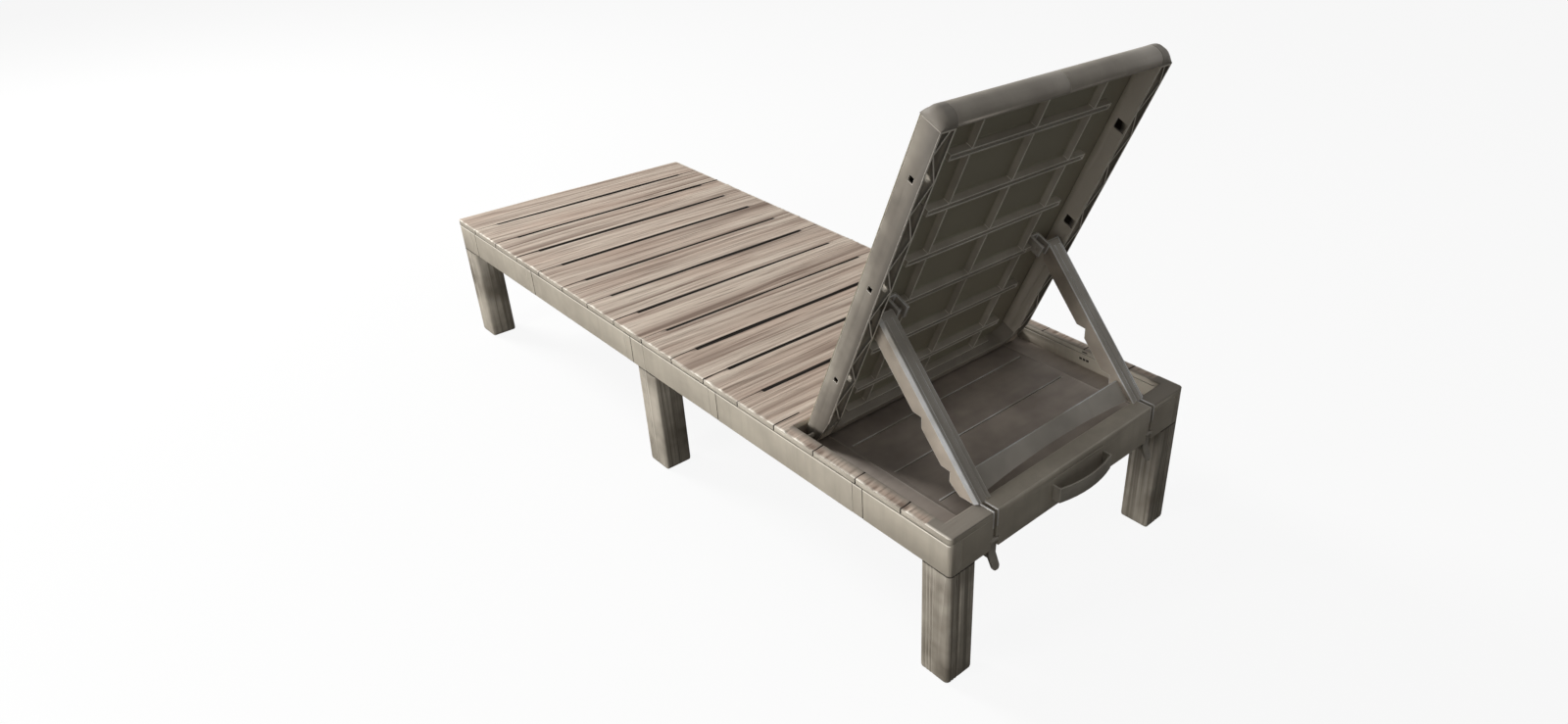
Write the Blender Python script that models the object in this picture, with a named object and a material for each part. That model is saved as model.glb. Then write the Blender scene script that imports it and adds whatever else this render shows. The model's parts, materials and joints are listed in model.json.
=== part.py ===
"""Moulded sun lounger: slatted deck in two halves, six legs and a propped backrest."""

import math

import bmesh
import bpy
from mathutils import Vector

for item in list(bpy.data.objects):
    bpy.data.objects.remove(item, do_unlink=True)

# Clearances and cuts
seat_gap = 0.0003
half_gap = 0.0010
cut_overrun = 0.0050
pin_clearance = 0.0003
round_steps = 16
corner_steps = 3
cap_steps = 5

# Deck: left is -X and right is +X, the foot end is -Y and the head end is +Y
base_width = 0.600
plank_pitch = 0.1018
planks_per_half = 8
foot_plank_width = 0.092
head_plank_width = 0.105
short_plank_width = 0.025
deck_height = 0.2946
deck_panel_depth = 0.012
deck_skin = 0.004
slot_end_margin = 0.054
slot_width = 0.006
slot_wall = 0.003
seam_groove_width = 0.0014
seam_groove_depth = 0.0015
rib_thickness = 0.003
rib_place_share = 0.453
pocket_margin = 0.005
edge_chamfer = 0.0015
corner_radius = 0.008

# Frame below the deck
frame_depth = 0.0723
side_rail_width = 0.023
foot_rail_width = 0.023
head_rail_width = 0.035
rail_wall = 0.005
clip_width = 0.024
clip_thickness = 0.0025
foot_clip_shares = (0.068, 0.568, 0.911)
head_clip_shares = (0.279, 0.753)

# Legs
leg_width = 0.0566
leg_length = 0.0607
leg_wall = 0.004
leg_inner_radius = 0.005
leg_foot_round = 0.006
flute_width = 0.0026
flute_depth = 0.0008
flute_shares = (0.20, 0.31, 0.42)
tenon_size = 0.022
tenon_height = 0.028

# Tray under the backrest
tray_drop = 0.0346
tray_thickness = 0.004
tray_ridge_inset = 0.052
tray_ridge_width = 0.006
tray_ridge_height = 0.0015
tray_band_fall = 0.003
tray_slot_inset = 0.010
tray_slot_width = 0.002
tray_wall_thickness = 0.008
tray_wall_setback = 0.0010

# Backrest, built lying flat: its length runs along Y and its front face is up
back_side_gap = 0.024
back_length = 0.668
back_depth = 0.041
back_skin = 0.003
back_rib_height = 0.0146
back_pitch = 0.0999
back_first_seam = 0.0663
back_slot_end_gap = 0.0085
bracket_slot_end_gap = 0.013
hinge_depth = 0.020
hinge_pin_radius = 0.004
hinge_pin_grip = 0.009
bottom_overhang = 0.013
end_round = 0.012
swing_clearance = 0.0010
box_width = 0.0292
box_wall = 0.003
box_lattice_wall = 0.002
box_taper_length = 0.054
box_hole = 0.009
box_first_hole = 0.1494
box_hole_pitch = 0.2058
box_hole_depth = 0.0235
inner_hole_length = 0.0175
inner_hole_height = 0.0205
inner_hole_depth = 0.0275
inner_hole_places = (0.3196, 0.5266)
bottom_rail_length = 0.012
top_cap_length = 0.018
top_cap_round = 0.017
top_cap_wall = 0.004
top_corner_round = 0.018
recline_rest = math.radians(66.0)

# Prop: two arms joined by a brace, hung from the back of the backrest
arm_width = 0.034
arm_side_gap = 0.0053
arm_web = 0.003
arm_flange = 0.0025
arm_web_offset = 0.008
arm_groove_width = 0.003
arm_groove_depth = 0.0008
arm_groove_shares = (0.30, 0.70)
flange_depth = 0.0235
flange_start = 0.024
flange_root = 0.011
flange_foot_depth = 0.018
notch_length = 0.014
notch_shares = (0.467, 0.757)
prop_pivot_place = 0.2777
prop_pivot_drop = 0.008
prop_pin_radius = 0.003
prop_foot_reach = 0.008
brace_length = 0.040
brace_thickness = 0.003
brace_drop = 0.0005
brace_lip = 0.005
brace_arch = 0.009
bracket_width = 0.023
bracket_cheek = 0.005
bracket_base = 0.005
bracket_length = 0.024
bracket_reach = 0.010
bracket_arm_gap = 0.0025

# Carry handle and latches at the head end
rail_slit_inset = 0.0965
rail_slit_width = 0.007
handle_half_length = 0.066
handle_standoff = 0.016
handle_bow = 0.010
handle_strap = 0.003
handle_height = 0.028
handle_drop = 0.0256
handle_stub = 0.006
handle_steps = 8
handle_line_drop = 0.0150
handle_line_width = 0.0012
handle_line_depth = 0.0008
latch_width = 0.016
latch_strip = 0.003
latch_barrel_radius = 0.005
latch_pin_radius = 0.002
latch_pin_grip = 0.006
latch_recess_depth = 0.014
latch_recess_side_gap = 0.001
latch_inset = 0.004
latch_rise = 0.014
latch_neck = 0.026
latch_tail = 0.026
latch_tail_flare = 0.012
latch_tab = 0.012
latch_tab_rise = 0.006

# Looks
deck_colour = (0.47, 0.39, 0.32)
frame_colour = (0.43, 0.37, 0.30)
leg_colour = (0.40, 0.35, 0.28)
back_colour = (0.36, 0.31, 0.26)
prop_colour = (0.33, 0.29, 0.24)
small_colour = (0.28, 0.25, 0.21)
plastic_roughness = 0.6

# Places worked out from the sizes above
half_width = base_width / 2
rail_inner = half_width - side_rail_width
foot_end = -((planks_per_half - 1) * plank_pitch + foot_plank_width)
head_end = (planks_per_half - 1) * plank_pitch + head_plank_width
head_rail_inner = head_end - head_rail_width
frame_bottom = deck_height - frame_depth
panel_bottom = deck_height - deck_panel_depth
rail_top = panel_bottom - seat_gap
seat_planks = planks_per_half // 2
opening_front = seat_planks * plank_pitch + short_plank_width
slot_half_length = half_width - slot_end_margin
rib_spacing = rib_place_share * half_width
leg_inner = half_width - leg_width
leg_top = frame_bottom - seat_gap
tray_top = deck_height - tray_drop
tray_ridge_place = rail_inner - tray_ridge_inset
tray_slot_half_length = tray_ridge_place - tray_slot_inset
rail_slit_place = half_width - rail_slit_inset
handle_reach = handle_standoff + handle_bow
middle_shift = -(head_end + handle_reach + foot_end) / 2

back_half = rail_inner - back_side_gap
round_centre_along = end_round - bottom_overhang
round_centre_up = hinge_depth - end_round
swing_radius = math.hypot(round_centre_along, round_centre_up) + end_round
hinge_place = opening_front + swing_radius + swing_clearance
hinge_height = deck_height - hinge_depth
box_inner = back_half - box_width
skin_under = hinge_depth - back_skin
rim_level = hinge_depth - back_depth
rib_under = skin_under - back_rib_height
cap_start = back_length - top_cap_length

rest_reach = head_rail_inner - hinge_place
rest_rise = deck_height + seat_gap - hinge_height
rest_depth = max(-rim_level, prop_pivot_drop + flange_depth)
recline_flat = (math.asin(rest_depth / math.hypot(rest_reach, rest_rise))
                + math.atan2(rest_rise, rest_reach))

arm_outer_place = box_inner - arm_side_gap
arm_inner_place = arm_outer_place - arm_width
back_slot_half_length = arm_inner_place - back_slot_end_gap
bracket_inner = arm_inner_place - bracket_arm_gap - bracket_width
bracket_slot_half_length = bracket_inner - bracket_slot_end_gap
prop_pivot_rise = -prop_pivot_drop
pivot_y = (hinge_place + prop_pivot_place * math.cos(recline_rest)
           - prop_pivot_rise * math.sin(recline_rest))
pivot_z = (hinge_height + prop_pivot_place * math.sin(recline_rest)
           + prop_pivot_rise * math.cos(recline_rest))
foot_run = head_rail_inner + prop_foot_reach - pivot_y
foot_fall = pivot_z - (deck_height + seat_gap)
foot_distance = math.hypot(foot_run, foot_fall)
arm_length = math.sqrt(foot_distance ** 2 - arm_web_offset ** 2)
arm_slope = math.atan2(foot_fall, foot_run) + math.asin(arm_web_offset / foot_distance)
slit_outer = rail_slit_place + rail_slit_width / 2
slit_inner = rail_slit_place - rail_slit_width / 2


def arc(centre_a, centre_b, radius, start, end, steps):
    """Points of an arc; angles in degrees."""
    points = []
    for step in range(steps + 1):
        angle = math.radians(start + (end - start) * step / steps)
        points.append((centre_a + radius * math.cos(angle),
                       centre_b + radius * math.sin(angle)))
    return points


def prism(outline, axis, low, high):
    """A closed outline drawn across one axis and extruded along it."""
    order = {"X": (2, 0, 1), "Y": (0, 2, 1), "Z": (0, 1, 2)}[axis]
    solid = bmesh.new()
    rings = []
    for level in (low, high):
        ring = []
        for a, b in outline:
            raw = (a, b, level)
            ring.append(solid.verts.new(tuple(raw[place] for place in order)))
        rings.append(ring)
    close(solid, rings)
    return solid


def close(solid, rings):
    """Side faces between rings of points, and a face over each end."""
    count = len(rings[0])
    for lower, upper in zip(rings, rings[1:]):
        for place in range(count):
            after = (place + 1) % count
            solid.faces.new((lower[place], lower[after], upper[after], upper[place]))
    solid.faces.new(list(reversed(rings[0])))
    solid.faces.new(rings[-1])
    bmesh.ops.recalc_face_normals(solid, faces=solid.faces)


def slab(outline, levels):
    """Stacked outlines: each level is a height and how far the outline is drawn in."""
    solid = bmesh.new()
    rings = []
    for height, inset in levels:
        ring = drawn_in(outline, inset)
        rings.append([solid.verts.new((x, y, height)) for x, y in ring])
    close(solid, rings)
    return solid


def drawn_in(outline, inset):
    """The outline, given anticlockwise, moved inwards by one distance."""
    if not inset:
        return outline
    count = len(outline)
    moved = []
    for place in range(count):
        here = Vector(outline[place])
        before = (here - Vector(outline[place - 1])).normalized()
        after = (Vector(outline[(place + 1) % count]) - here).normalized()
        normal_before = Vector((-before.y, before.x))
        normal_after = Vector((-after.y, after.x))
        middle = normal_before + normal_after
        moved.append(tuple(here + middle * (2 * inset / middle.length_squared)))
    return moved


def block(low, high):
    """A box between two corners."""
    outline = [(low[0], low[1]), (high[0], low[1]), (high[0], high[1]), (low[0], high[1])]
    return prism(outline, "Z", low[2], high[2])


def sided(side, low, high):
    """A box given for the right side, mirrored to the left when side is -1."""
    if side > 0:
        return block(low, high)
    return block((-high[0], low[1], low[2]), (-low[0], high[1], high[2]))


def rod(radius, axis, centre, low, high):
    """A round bar along X, centred in Y and Z, its side shaded smooth."""
    full_turn = arc(centre[0], centre[1], radius, 0, 360, round_steps)[:-1]
    bar = prism(full_turn, axis, low, high)
    for face in bar.faces:
        face.smooth = len(face.verts) < round_steps
    return bar


def rounded_box(low, high, radii, steps=corner_steps):
    """Anticlockwise rectangle with its own radius at each corner, lower left first."""
    corners = [(low[0], low[1], 180), (high[0], low[1], 270),
               (high[0], high[1], 0), (low[0], high[1], 90)]
    points = []
    for (x, y, start), radius in zip(corners, radii):
        if not radius:
            points.append((x, y))
            continue
        centre_x = x + radius * (1 if x == low[0] else -1)
        centre_y = y + radius * (1 if y == low[1] else -1)
        points += arc(centre_x, centre_y, radius, start, start + 90, steps)
    return points


def mirrored(outline, side):
    """The outline as it is, or turned over to the left side."""
    if side > 0:
        return outline
    return [(-a, b) for a, b in reversed(outline)]


def merge(solids):
    """Several separate closed shapes as one set of faces, for a cut."""
    joined = bmesh.new()
    for solid in solids:
        copy = bpy.data.meshes.new("shape")
        solid.to_mesh(copy)
        solid.free()
        joined.from_mesh(copy)
        bpy.data.meshes.remove(copy)
    return joined


def make(name, solid, parent, colour):
    """One named piece with its own material."""
    mesh = bpy.data.meshes.new(name)
    solid.to_mesh(mesh)
    solid.free()
    piece = bpy.data.objects.new(name, mesh)
    bpy.context.scene.collection.objects.link(piece)
    piece.parent = parent
    material = bpy.data.materials.new(name)
    material.use_nodes = True
    shader = material.node_tree.nodes["Principled BSDF"]
    shader.inputs["Base Color"].default_value = (*colour, 1.0)
    shader.inputs["Roughness"].default_value = plastic_roughness
    shader.inputs["Metallic"].default_value = 0.0
    mesh.materials.append(material)
    return piece


def shape(piece, solids, operation="DIFFERENCE"):
    """Cut shapes out of a piece, or join them to it."""
    mesh = bpy.data.meshes.new("tool")
    joined = merge(solids)
    joined.to_mesh(mesh)
    joined.free()
    tool = bpy.data.objects.new("tool", mesh)
    tool.hide_render = True
    tool.display_type = "WIRE"
    bpy.context.scene.collection.objects.link(tool)
    tool.parent = piece.parent
    change = piece.modifiers.new("shape", "BOOLEAN")
    change.operation = operation
    change.solver = "EXACT"
    change.object = tool
    bpy.context.view_layer.update()
    state = bpy.context.evaluated_depsgraph_get()
    result = bpy.data.meshes.new_from_object(piece.evaluated_get(state))
    piece.modifiers.clear()
    before = piece.data
    piece.data = result
    bpy.data.meshes.remove(before)
    bpy.data.objects.remove(tool, do_unlink=True)
    bpy.data.meshes.remove(mesh)


def empty(name, parent, place, turn):
    """An empty on a joint's axis, turned about X."""
    mark = bpy.data.objects.new(name, None)
    bpy.context.scene.collection.objects.link(mark)
    mark.parent = parent
    mark.location = place
    mark.rotation_euler = (turn, 0, 0)
    return mark


base = empty("base_frame", None, (0, middle_shift, 0), 0)
back = empty("backrest_hinge_axis", base, (0, hinge_place, hinge_height), recline_rest)
prop = empty("prop_hinge_axis", back, (0, prop_pivot_place, prop_pivot_rise),
             -arm_slope - recline_rest)
sides = (("left", -1), ("right", 1))


def deck_cuts(first, last, start, end):
    """Slots, seam grooves and edge notches at the seams, and the pockets underneath."""
    slots, grooves, notches, pockets = [], [], [], []
    for seam in range(first, last + 1):
        middle = seam * plank_pitch
        if seam and start < middle < end and middle < opening_front:
            slots.append(block((-slot_half_length, middle, panel_bottom - cut_overrun),
                               (slot_half_length, middle + slot_width,
                                deck_height + cut_overrun)))
        if not seam:
            continue
        for name, side in sides:
            inner = slot_half_length if middle < opening_front else rail_inner - cut_overrun
            grooves.append(sided(side, (inner - seam_groove_width, middle,
                                        deck_height - seam_groove_depth),
                                 (half_width + cut_overrun, middle + seam_groove_width,
                                  deck_height + cut_overrun)))
            notches.append(sided(side, (half_width - seam_groove_depth, middle,
                                        panel_bottom - cut_overrun),
                                 (half_width + cut_overrun, middle + seam_groove_width,
                                  deck_height - seam_groove_depth / 2)))
    bays = [-rail_inner + pocket_margin - rib_thickness / 2, -rib_spacing, 0, rib_spacing,
            rail_inner - pocket_margin + rib_thickness / 2]
    for plank in range(first - 1, last + 1):
        low = max(plank * plank_pitch + slot_width + slot_wall, start)
        high = min((plank + 1) * plank_pitch - slot_wall, end)
        if high - low < slot_wall:
            continue
        for left, right in zip(bays, bays[1:]):
            pockets.append(block((left + rib_thickness / 2, low, panel_bottom - cut_overrun),
                                 (right - rib_thickness / 2, high,
                                  deck_height - deck_skin)))
    return slots, grooves, notches, pockets


def build_deck():
    """The two slatted deck panels; the head one reaches round the backrest's opening."""
    levels = [(panel_bottom, 0), (deck_height - edge_chamfer, 0), (deck_height, edge_chamfer)]
    outline = rounded_box((-half_width, foot_end), (half_width, -half_gap / 2),
                          (corner_radius, corner_radius, 0, 0))
    panel = make("foot_deck_panel", slab(outline, levels), base, deck_colour)
    cuts = deck_cuts(1 - planks_per_half, -1, foot_end + foot_rail_width + pocket_margin,
                     -half_gap / 2 - slot_wall)
    for cut in cuts:
        shape(panel, cut)

    outline = rounded_box((-half_width, half_gap / 2), (half_width, head_end),
                          (0, 0, corner_radius, corner_radius))
    panel = make("head_deck_panel", slab(outline, levels), base, deck_colour)
    opening = block((-rail_inner, opening_front, panel_bottom - cut_overrun),
                    (rail_inner, head_rail_inner, deck_height + cut_overrun))
    shape(panel, [opening])
    middle_cut = block((-slit_outer, head_rail_inner - cut_overrun, panel_bottom - cut_overrun),
                       (slit_outer, head_end + cut_overrun, deck_height + cut_overrun))
    shape(panel, [middle_cut])
    fold_slot = block((-slot_half_length, -cut_overrun, panel_bottom - cut_overrun),
                      (slot_half_length, slot_width, deck_height + cut_overrun))
    shape(panel, [fold_slot])
    slots, grooves, notches, pockets = deck_cuts(
        1, planks_per_half - 1, slot_width + slot_wall, opening_front - tray_wall_thickness)
    shape(panel, slots)
    shape(panel, grooves)
    shape(panel, notches)
    shape(panel, pockets)


def clip_places(shares, end):
    """Middle of each side clip, measured from the fold towards one end."""
    return [share * end for share in shares]


def build_rails():
    """Side boards of both halves with their clips, and the foot board."""
    halves = (("foot", foot_end, -half_gap / 2, foot_clip_shares, foot_end),
              ("head", half_gap / 2, head_end, head_clip_shares, head_end))
    for half, low, high, shares, end in halves:
        for name, side in sides:
            radii = [0, 0, 0, 0]
            radii[1 if half == "foot" else 2] = corner_radius
            outline = mirrored(rounded_box((rail_inner, low), (half_width, high), radii), side)
            rail = make(f"{half}_side_rail_{name}",
                        slab(outline, [(frame_bottom, 0), (rail_top, 0)]), base, frame_colour)
            if half == "foot":
                runs = [(low + leg_length + rail_wall, -leg_length / 2 - rail_wall)]
            else:
                boss = 2 * hinge_pin_radius + rail_wall
                runs = [(leg_length / 2 + rail_wall, hinge_place - boss),
                        (hinge_place + boss, high - leg_length - rail_wall)]
            hollows = [sided(side, (rail_inner + rail_wall, start, frame_bottom - cut_overrun),
                             (half_width - rail_wall, stop, rail_top - rail_wall))
                       for start, stop in runs]
            shape(rail, hollows)
            recess = clip_thickness + seat_gap
            places = clip_places(shares, end)
            recesses = [sided(side, (half_width - recess, middle - clip_width / 2 - seat_gap,
                                     frame_bottom - cut_overrun),
                              (half_width + cut_overrun, middle + clip_width / 2 + seat_gap,
                               rail_top + cut_overrun)) for middle in places]
            shape(rail, recesses)
            for number, middle in enumerate(places, 1):
                make(f"{half}_side_clip_{name}_{number}",
                     sided(side, (half_width - clip_thickness, middle - clip_width / 2,
                                  frame_bottom),
                           (half_width, middle + clip_width / 2, rail_top)),
                     base, frame_colour)
            if half == "head":
                reach = sorted((side * (rail_inner - cut_overrun),
                                side * (rail_inner + hinge_pin_grip + pin_clearance)))
                shape(rail, [rod(hinge_pin_radius + pin_clearance, "X",
                                 (hinge_place, hinge_height), *reach)])
    width = rail_inner - seat_gap
    rail = make("foot_end_rail", block((-width, foot_end, frame_bottom),
                                       (width, foot_end + foot_rail_width, rail_top)),
                base, frame_colour)
    shape(rail, [block((-leg_inner + rail_wall, foot_end + rail_wall,
                        frame_bottom - cut_overrun),
                       (leg_inner - rail_wall, foot_end + foot_rail_width - rail_wall,
                        rail_top - rail_wall))])


def leg_outline(low, high, radii, faces):
    """Leg section with shallow flutes along the outer faces named in faces."""
    runs = {"side": ((high[0], low[1]), (0, 1), high[1] - low[1]),
            "head": (high, (-1, 0), high[0] - low[0]),
            "foot": (low, (1, 0), high[0] - low[0])}
    points = rounded_box(low, high, radii)
    result = []
    for place, point in enumerate(points):
        result.append(point)
        after = points[(place + 1) % len(points)]
        step = Vector(after) - Vector(point)
        if step.length < leg_width / 2:
            continue
        for face in faces:
            corner, way, length = runs[face]
            along = Vector(way)
            if step.normalized().dot(along) < 1 - seat_gap:
                continue
            inward = Vector((-along.y, along.x))
            for share in flute_shares:
                middle = Vector(corner) + along * (share * length)
                result += [tuple(middle - along * (flute_width / 2)),
                           tuple(middle + inward * flute_depth),
                           tuple(middle + along * (flute_width / 2))]
    return result


def build_leg(name, side, low_y, high_y, tenon_y):
    """Hollow leg, open below, with a tenon that plugs into the block above."""
    foot = low_y == foot_end
    head = high_y == head_end
    inner = leg_inner_radius
    radii = (inner, corner_radius if foot else inner, corner_radius if head else inner, inner)
    faces = ["side"] + ["foot"] * foot + ["head"] * head
    outline = leg_outline((leg_inner, low_y), (half_width, high_y), radii, faces)
    middle_step = leg_foot_round * (1 - math.sqrt(1 / 2))
    levels = [(0, leg_foot_round / 2), (middle_step, middle_step / 2), (leg_foot_round, 0),
              (leg_top, 0)]
    leg = make(name, slab(mirrored(outline, side), levels), base, leg_colour)
    middle_x = (leg_inner + rail_inner - seat_gap) / 2
    half = tenon_size / 2
    shape(leg, [sided(side, (middle_x - half, tenon_y - half, leg_top - leg_wall / 2),
                      (middle_x + half, tenon_y + half, leg_top + tenon_height))], "UNION")
    wall = leg_wall + leg_foot_round / 2
    shape(leg, [sided(side, (leg_inner + wall, low_y + wall, -cut_overrun),
                      (half_width - wall, high_y - wall, leg_top - leg_wall))])


def build_corner(name, side, low, high, tenon_y):
    """Block behind the side board that a leg's tenon plugs into."""
    corner = make(name, sided(side, low, high), base, frame_colour)
    middle_x = (leg_inner + rail_inner - seat_gap) / 2
    half = tenon_size / 2 + seat_gap
    shape(corner, [sided(side, (middle_x - half, tenon_y - half, frame_bottom - cut_overrun),
                         (middle_x + half, tenon_y + half,
                          leg_top + tenon_height + seat_gap))])
    return corner


def build_legs():
    """Six legs and the blocks that hold them."""
    for name, side in sides:
        outer = rail_inner - seat_gap
        front = foot_end + foot_rail_width + seat_gap
        middle = (front + foot_end + leg_length) / 2
        build_corner(f"foot_corner_block_{name}", side, (leg_inner, front, frame_bottom),
                     (outer, foot_end + leg_length, rail_top), middle)
        build_leg(f"foot_leg_{name}", side, foot_end, foot_end + leg_length, middle)

        build_corner(f"middle_connector_{name}", side,
                     (leg_inner, -leg_length / 2, frame_bottom),
                     (outer, leg_length / 2, rail_top), 0)
        build_leg(f"middle_leg_{name}", side, -leg_length / 2, leg_length / 2, 0)

        middle = (head_rail_inner + head_end) / 2
        corner = build_corner(f"head_corner_block_{name}", side,
                              (slit_outer, head_rail_inner, frame_bottom),
                              (outer, head_end, rail_top), middle)
        shape(corner, [latch_recess(side)])
        shape(corner, [latch_pin_hole(side)])
        build_leg(f"head_leg_{name}", side, head_end - leg_length, head_end, middle)


latch_y = head_end - latch_inset
latch_z = frame_bottom + latch_rise


def latch_recess(side):
    """Notch low in the head end, where a latch hangs across the slit."""
    half = latch_width / 2 + latch_recess_side_gap
    top = latch_z + latch_barrel_radius + latch_recess_side_gap
    return sided(side, (rail_slit_place - half, head_end - latch_recess_depth,
                        frame_bottom - cut_overrun),
                 (rail_slit_place + half, head_end + cut_overrun, top))


def latch_pin_hole(side):
    """Bore for a latch pin through the notch's two walls."""
    half = latch_width / 2 + latch_recess_side_gap + latch_pin_grip + pin_clearance
    reach = sorted((side * (rail_slit_place - half), side * (rail_slit_place + half)))
    return rod(latch_pin_radius + pin_clearance, "X", (latch_y, latch_z), *reach)


def build_head_rail():
    """Middle of the head end, between the two slits, with its carry handle."""
    outline = [(-slit_inner, head_rail_inner), (slit_inner, head_rail_inner),
               (slit_inner, head_end), (-slit_inner, head_end)]
    rail = make("head_end_rail",
                slab(outline, [(frame_bottom, 0), (deck_height - edge_chamfer, 0),
                               (deck_height, edge_chamfer)]), base, frame_colour)
    solid_end = latch_width / 2 + latch_recess_side_gap + latch_pin_grip + rail_wall
    hollow = rail_slit_place - solid_end
    shape(rail, [block((-hollow, head_rail_inner + rail_wall, frame_bottom - cut_overrun),
                       (hollow, head_end - rail_wall, deck_height - rail_wall))])
    shape(rail, [latch_recess(side) for name, side in sides])
    shape(rail, [latch_pin_hole(side) for name, side in sides])
    strap_top = deck_height - handle_drop
    half = handle_strap / 2
    stubs = [sided(side, (handle_half_length - half - seat_gap,
                          head_end - handle_stub - seat_gap,
                          strap_top - handle_height - seat_gap),
                   (handle_half_length + half + seat_gap, head_end + cut_overrun,
                    strap_top + seat_gap)) for name, side in sides]
    shape(rail, stubs)
    line = deck_height - handle_line_drop
    shape(rail, [block((-handle_half_length, head_end - handle_line_depth, line),
                       (handle_half_length, head_end + cut_overrun,
                        line + handle_line_width))])

    path = [(handle_half_length, head_end - handle_stub)]
    for step in range(handle_steps + 1):
        share = 1 - 2 * step / handle_steps
        path.append((handle_half_length * share,
                     head_end + handle_standoff + handle_bow * (1 - share ** 2)
                     - handle_strap / 2))
    path.append((-handle_half_length, head_end - handle_stub))
    outline = offset_path(path, half) + list(reversed(offset_path(path, -half)))
    make("carry_handle", prism(outline, "Z", strap_top - handle_height, strap_top), base,
         small_colour)


def offset_path(path, distance):
    """An open path moved sideways by one distance, mitred at its corners."""
    moved = []
    for place, point in enumerate(path):
        here = Vector(point)
        normals = []
        if place:
            along = (here - Vector(path[place - 1])).normalized()
            normals.append(Vector((-along.y, along.x)))
        if place < len(path) - 1:
            along = (Vector(path[place + 1]) - here).normalized()
            normals.append(Vector((-along.y, along.x)))
        middle = sum(normals, Vector((0, 0)))
        scale = len(normals) * distance / middle.length_squared
        moved.append(tuple(here + middle * scale))
    return moved


def latch_outline():
    """Side view of a latch below its pin: neck, inward tab and outward tail."""
    half = latch_strip / 2
    start = -math.sqrt(latch_barrel_radius ** 2 - half ** 2)
    fork = -latch_neck
    barrel = arc(0, 0, latch_barrel_radius,
                 math.degrees(math.atan2(start, half)),
                 math.degrees(math.atan2(start, -half)) + 360, round_steps)
    tab_tip = (-latch_tab, fork - latch_tab_rise)
    tail_tip = (latch_tail_flare, fork - latch_tail)
    outline = list(barrel)
    outline += [(-half, fork), (tab_tip[0], tab_tip[1] + half),
                (tab_tip[0], tab_tip[1] - half), (-half, fork - 2 * half - latch_tab_rise / 2),
                (tail_tip[0] - half, tail_tip[1]), (tail_tip[0] + half, tail_tip[1]),
                (half, fork - half)]
    return outline


def hang_angle(outline):
    """Turn about the pin that brings the outline's centre of area straight below it."""
    area = first_y = first_z = 0.0
    for place, (y1, z1) in enumerate(outline):
        y2, z2 = outline[(place + 1) % len(outline)]
        cross = y1 * z2 - y2 * z1
        area += cross / 2
        first_y += (y1 + y2) * cross / 6
        first_z += (z1 + z2) * cross / 6
    return math.atan2(-first_y / area, -first_z / area)


def build_latches():
    """Hanging latches on their pins, one below each slit."""
    outline = latch_outline()
    turn = hang_angle(outline)
    hung = [(y * math.cos(turn) - z * math.sin(turn), y * math.sin(turn) + z * math.cos(turn))
            for y, z in outline]
    for name, side in sides:
        axis = empty(f"latch_axis_{name}", base, (side * rail_slit_place, latch_y, latch_z), 0)
        latch = make(f"latch_{name}", prism(hung, "X", -latch_width / 2, latch_width / 2), axis,
                     small_colour)
        shape(latch, [rod(latch_pin_radius + pin_clearance, "X", (0, 0),
                          -latch_width / 2 - cut_overrun, latch_width / 2 + cut_overrun)])
        half = latch_width / 2 + latch_recess_side_gap + latch_pin_grip
        reach = sorted((side * (rail_slit_place - half), side * (rail_slit_place + half)))
        make(f"latch_pin_{name}", rod(latch_pin_radius, "X", (latch_y, latch_z), *reach), base,
             small_colour)


def build_tray():
    """Floor below the backrest and the wall along its front edge."""
    back_of_wall = opening_front - tray_wall_setback
    width = rail_inner - seat_gap
    bottom = tray_top - tray_thickness
    make("tray_front_wall", block((-width, back_of_wall - tray_wall_thickness, bottom),
                                  (width, back_of_wall, rail_top)), base, frame_colour)
    ridge_in = tray_ridge_place - tray_ridge_width / 2
    ridge_out = tray_ridge_place + tray_ridge_width / 2
    right = [(ridge_in, tray_top), (tray_ridge_place, tray_top + tray_ridge_height),
             (ridge_out, tray_top), (width, tray_top - tray_band_fall)]
    upper = [(-x, z) for x, z in reversed(right)] + right
    outline = upper + [(x, z - tray_thickness) for x, z in reversed(upper)]
    tray = make("tray_floor", prism(outline, "Y", back_of_wall + seat_gap,
                                    head_rail_inner - seat_gap), base, frame_colour)
    slots = []
    for seam in range(seat_planks + 1, planks_per_half):
        middle = seam * plank_pitch
        slots.append(block((-tray_slot_half_length, middle, bottom - cut_overrun),
                           (tray_slot_half_length, middle + tray_slot_width,
                            tray_top + cut_overrun)))
    shape(tray, slots)


def back_seams():
    """Places of the seams up the backrest."""
    count = int((cap_start - back_first_seam) / back_pitch) + 1
    return [back_first_seam + back_pitch * number for number in range(count)]


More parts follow.
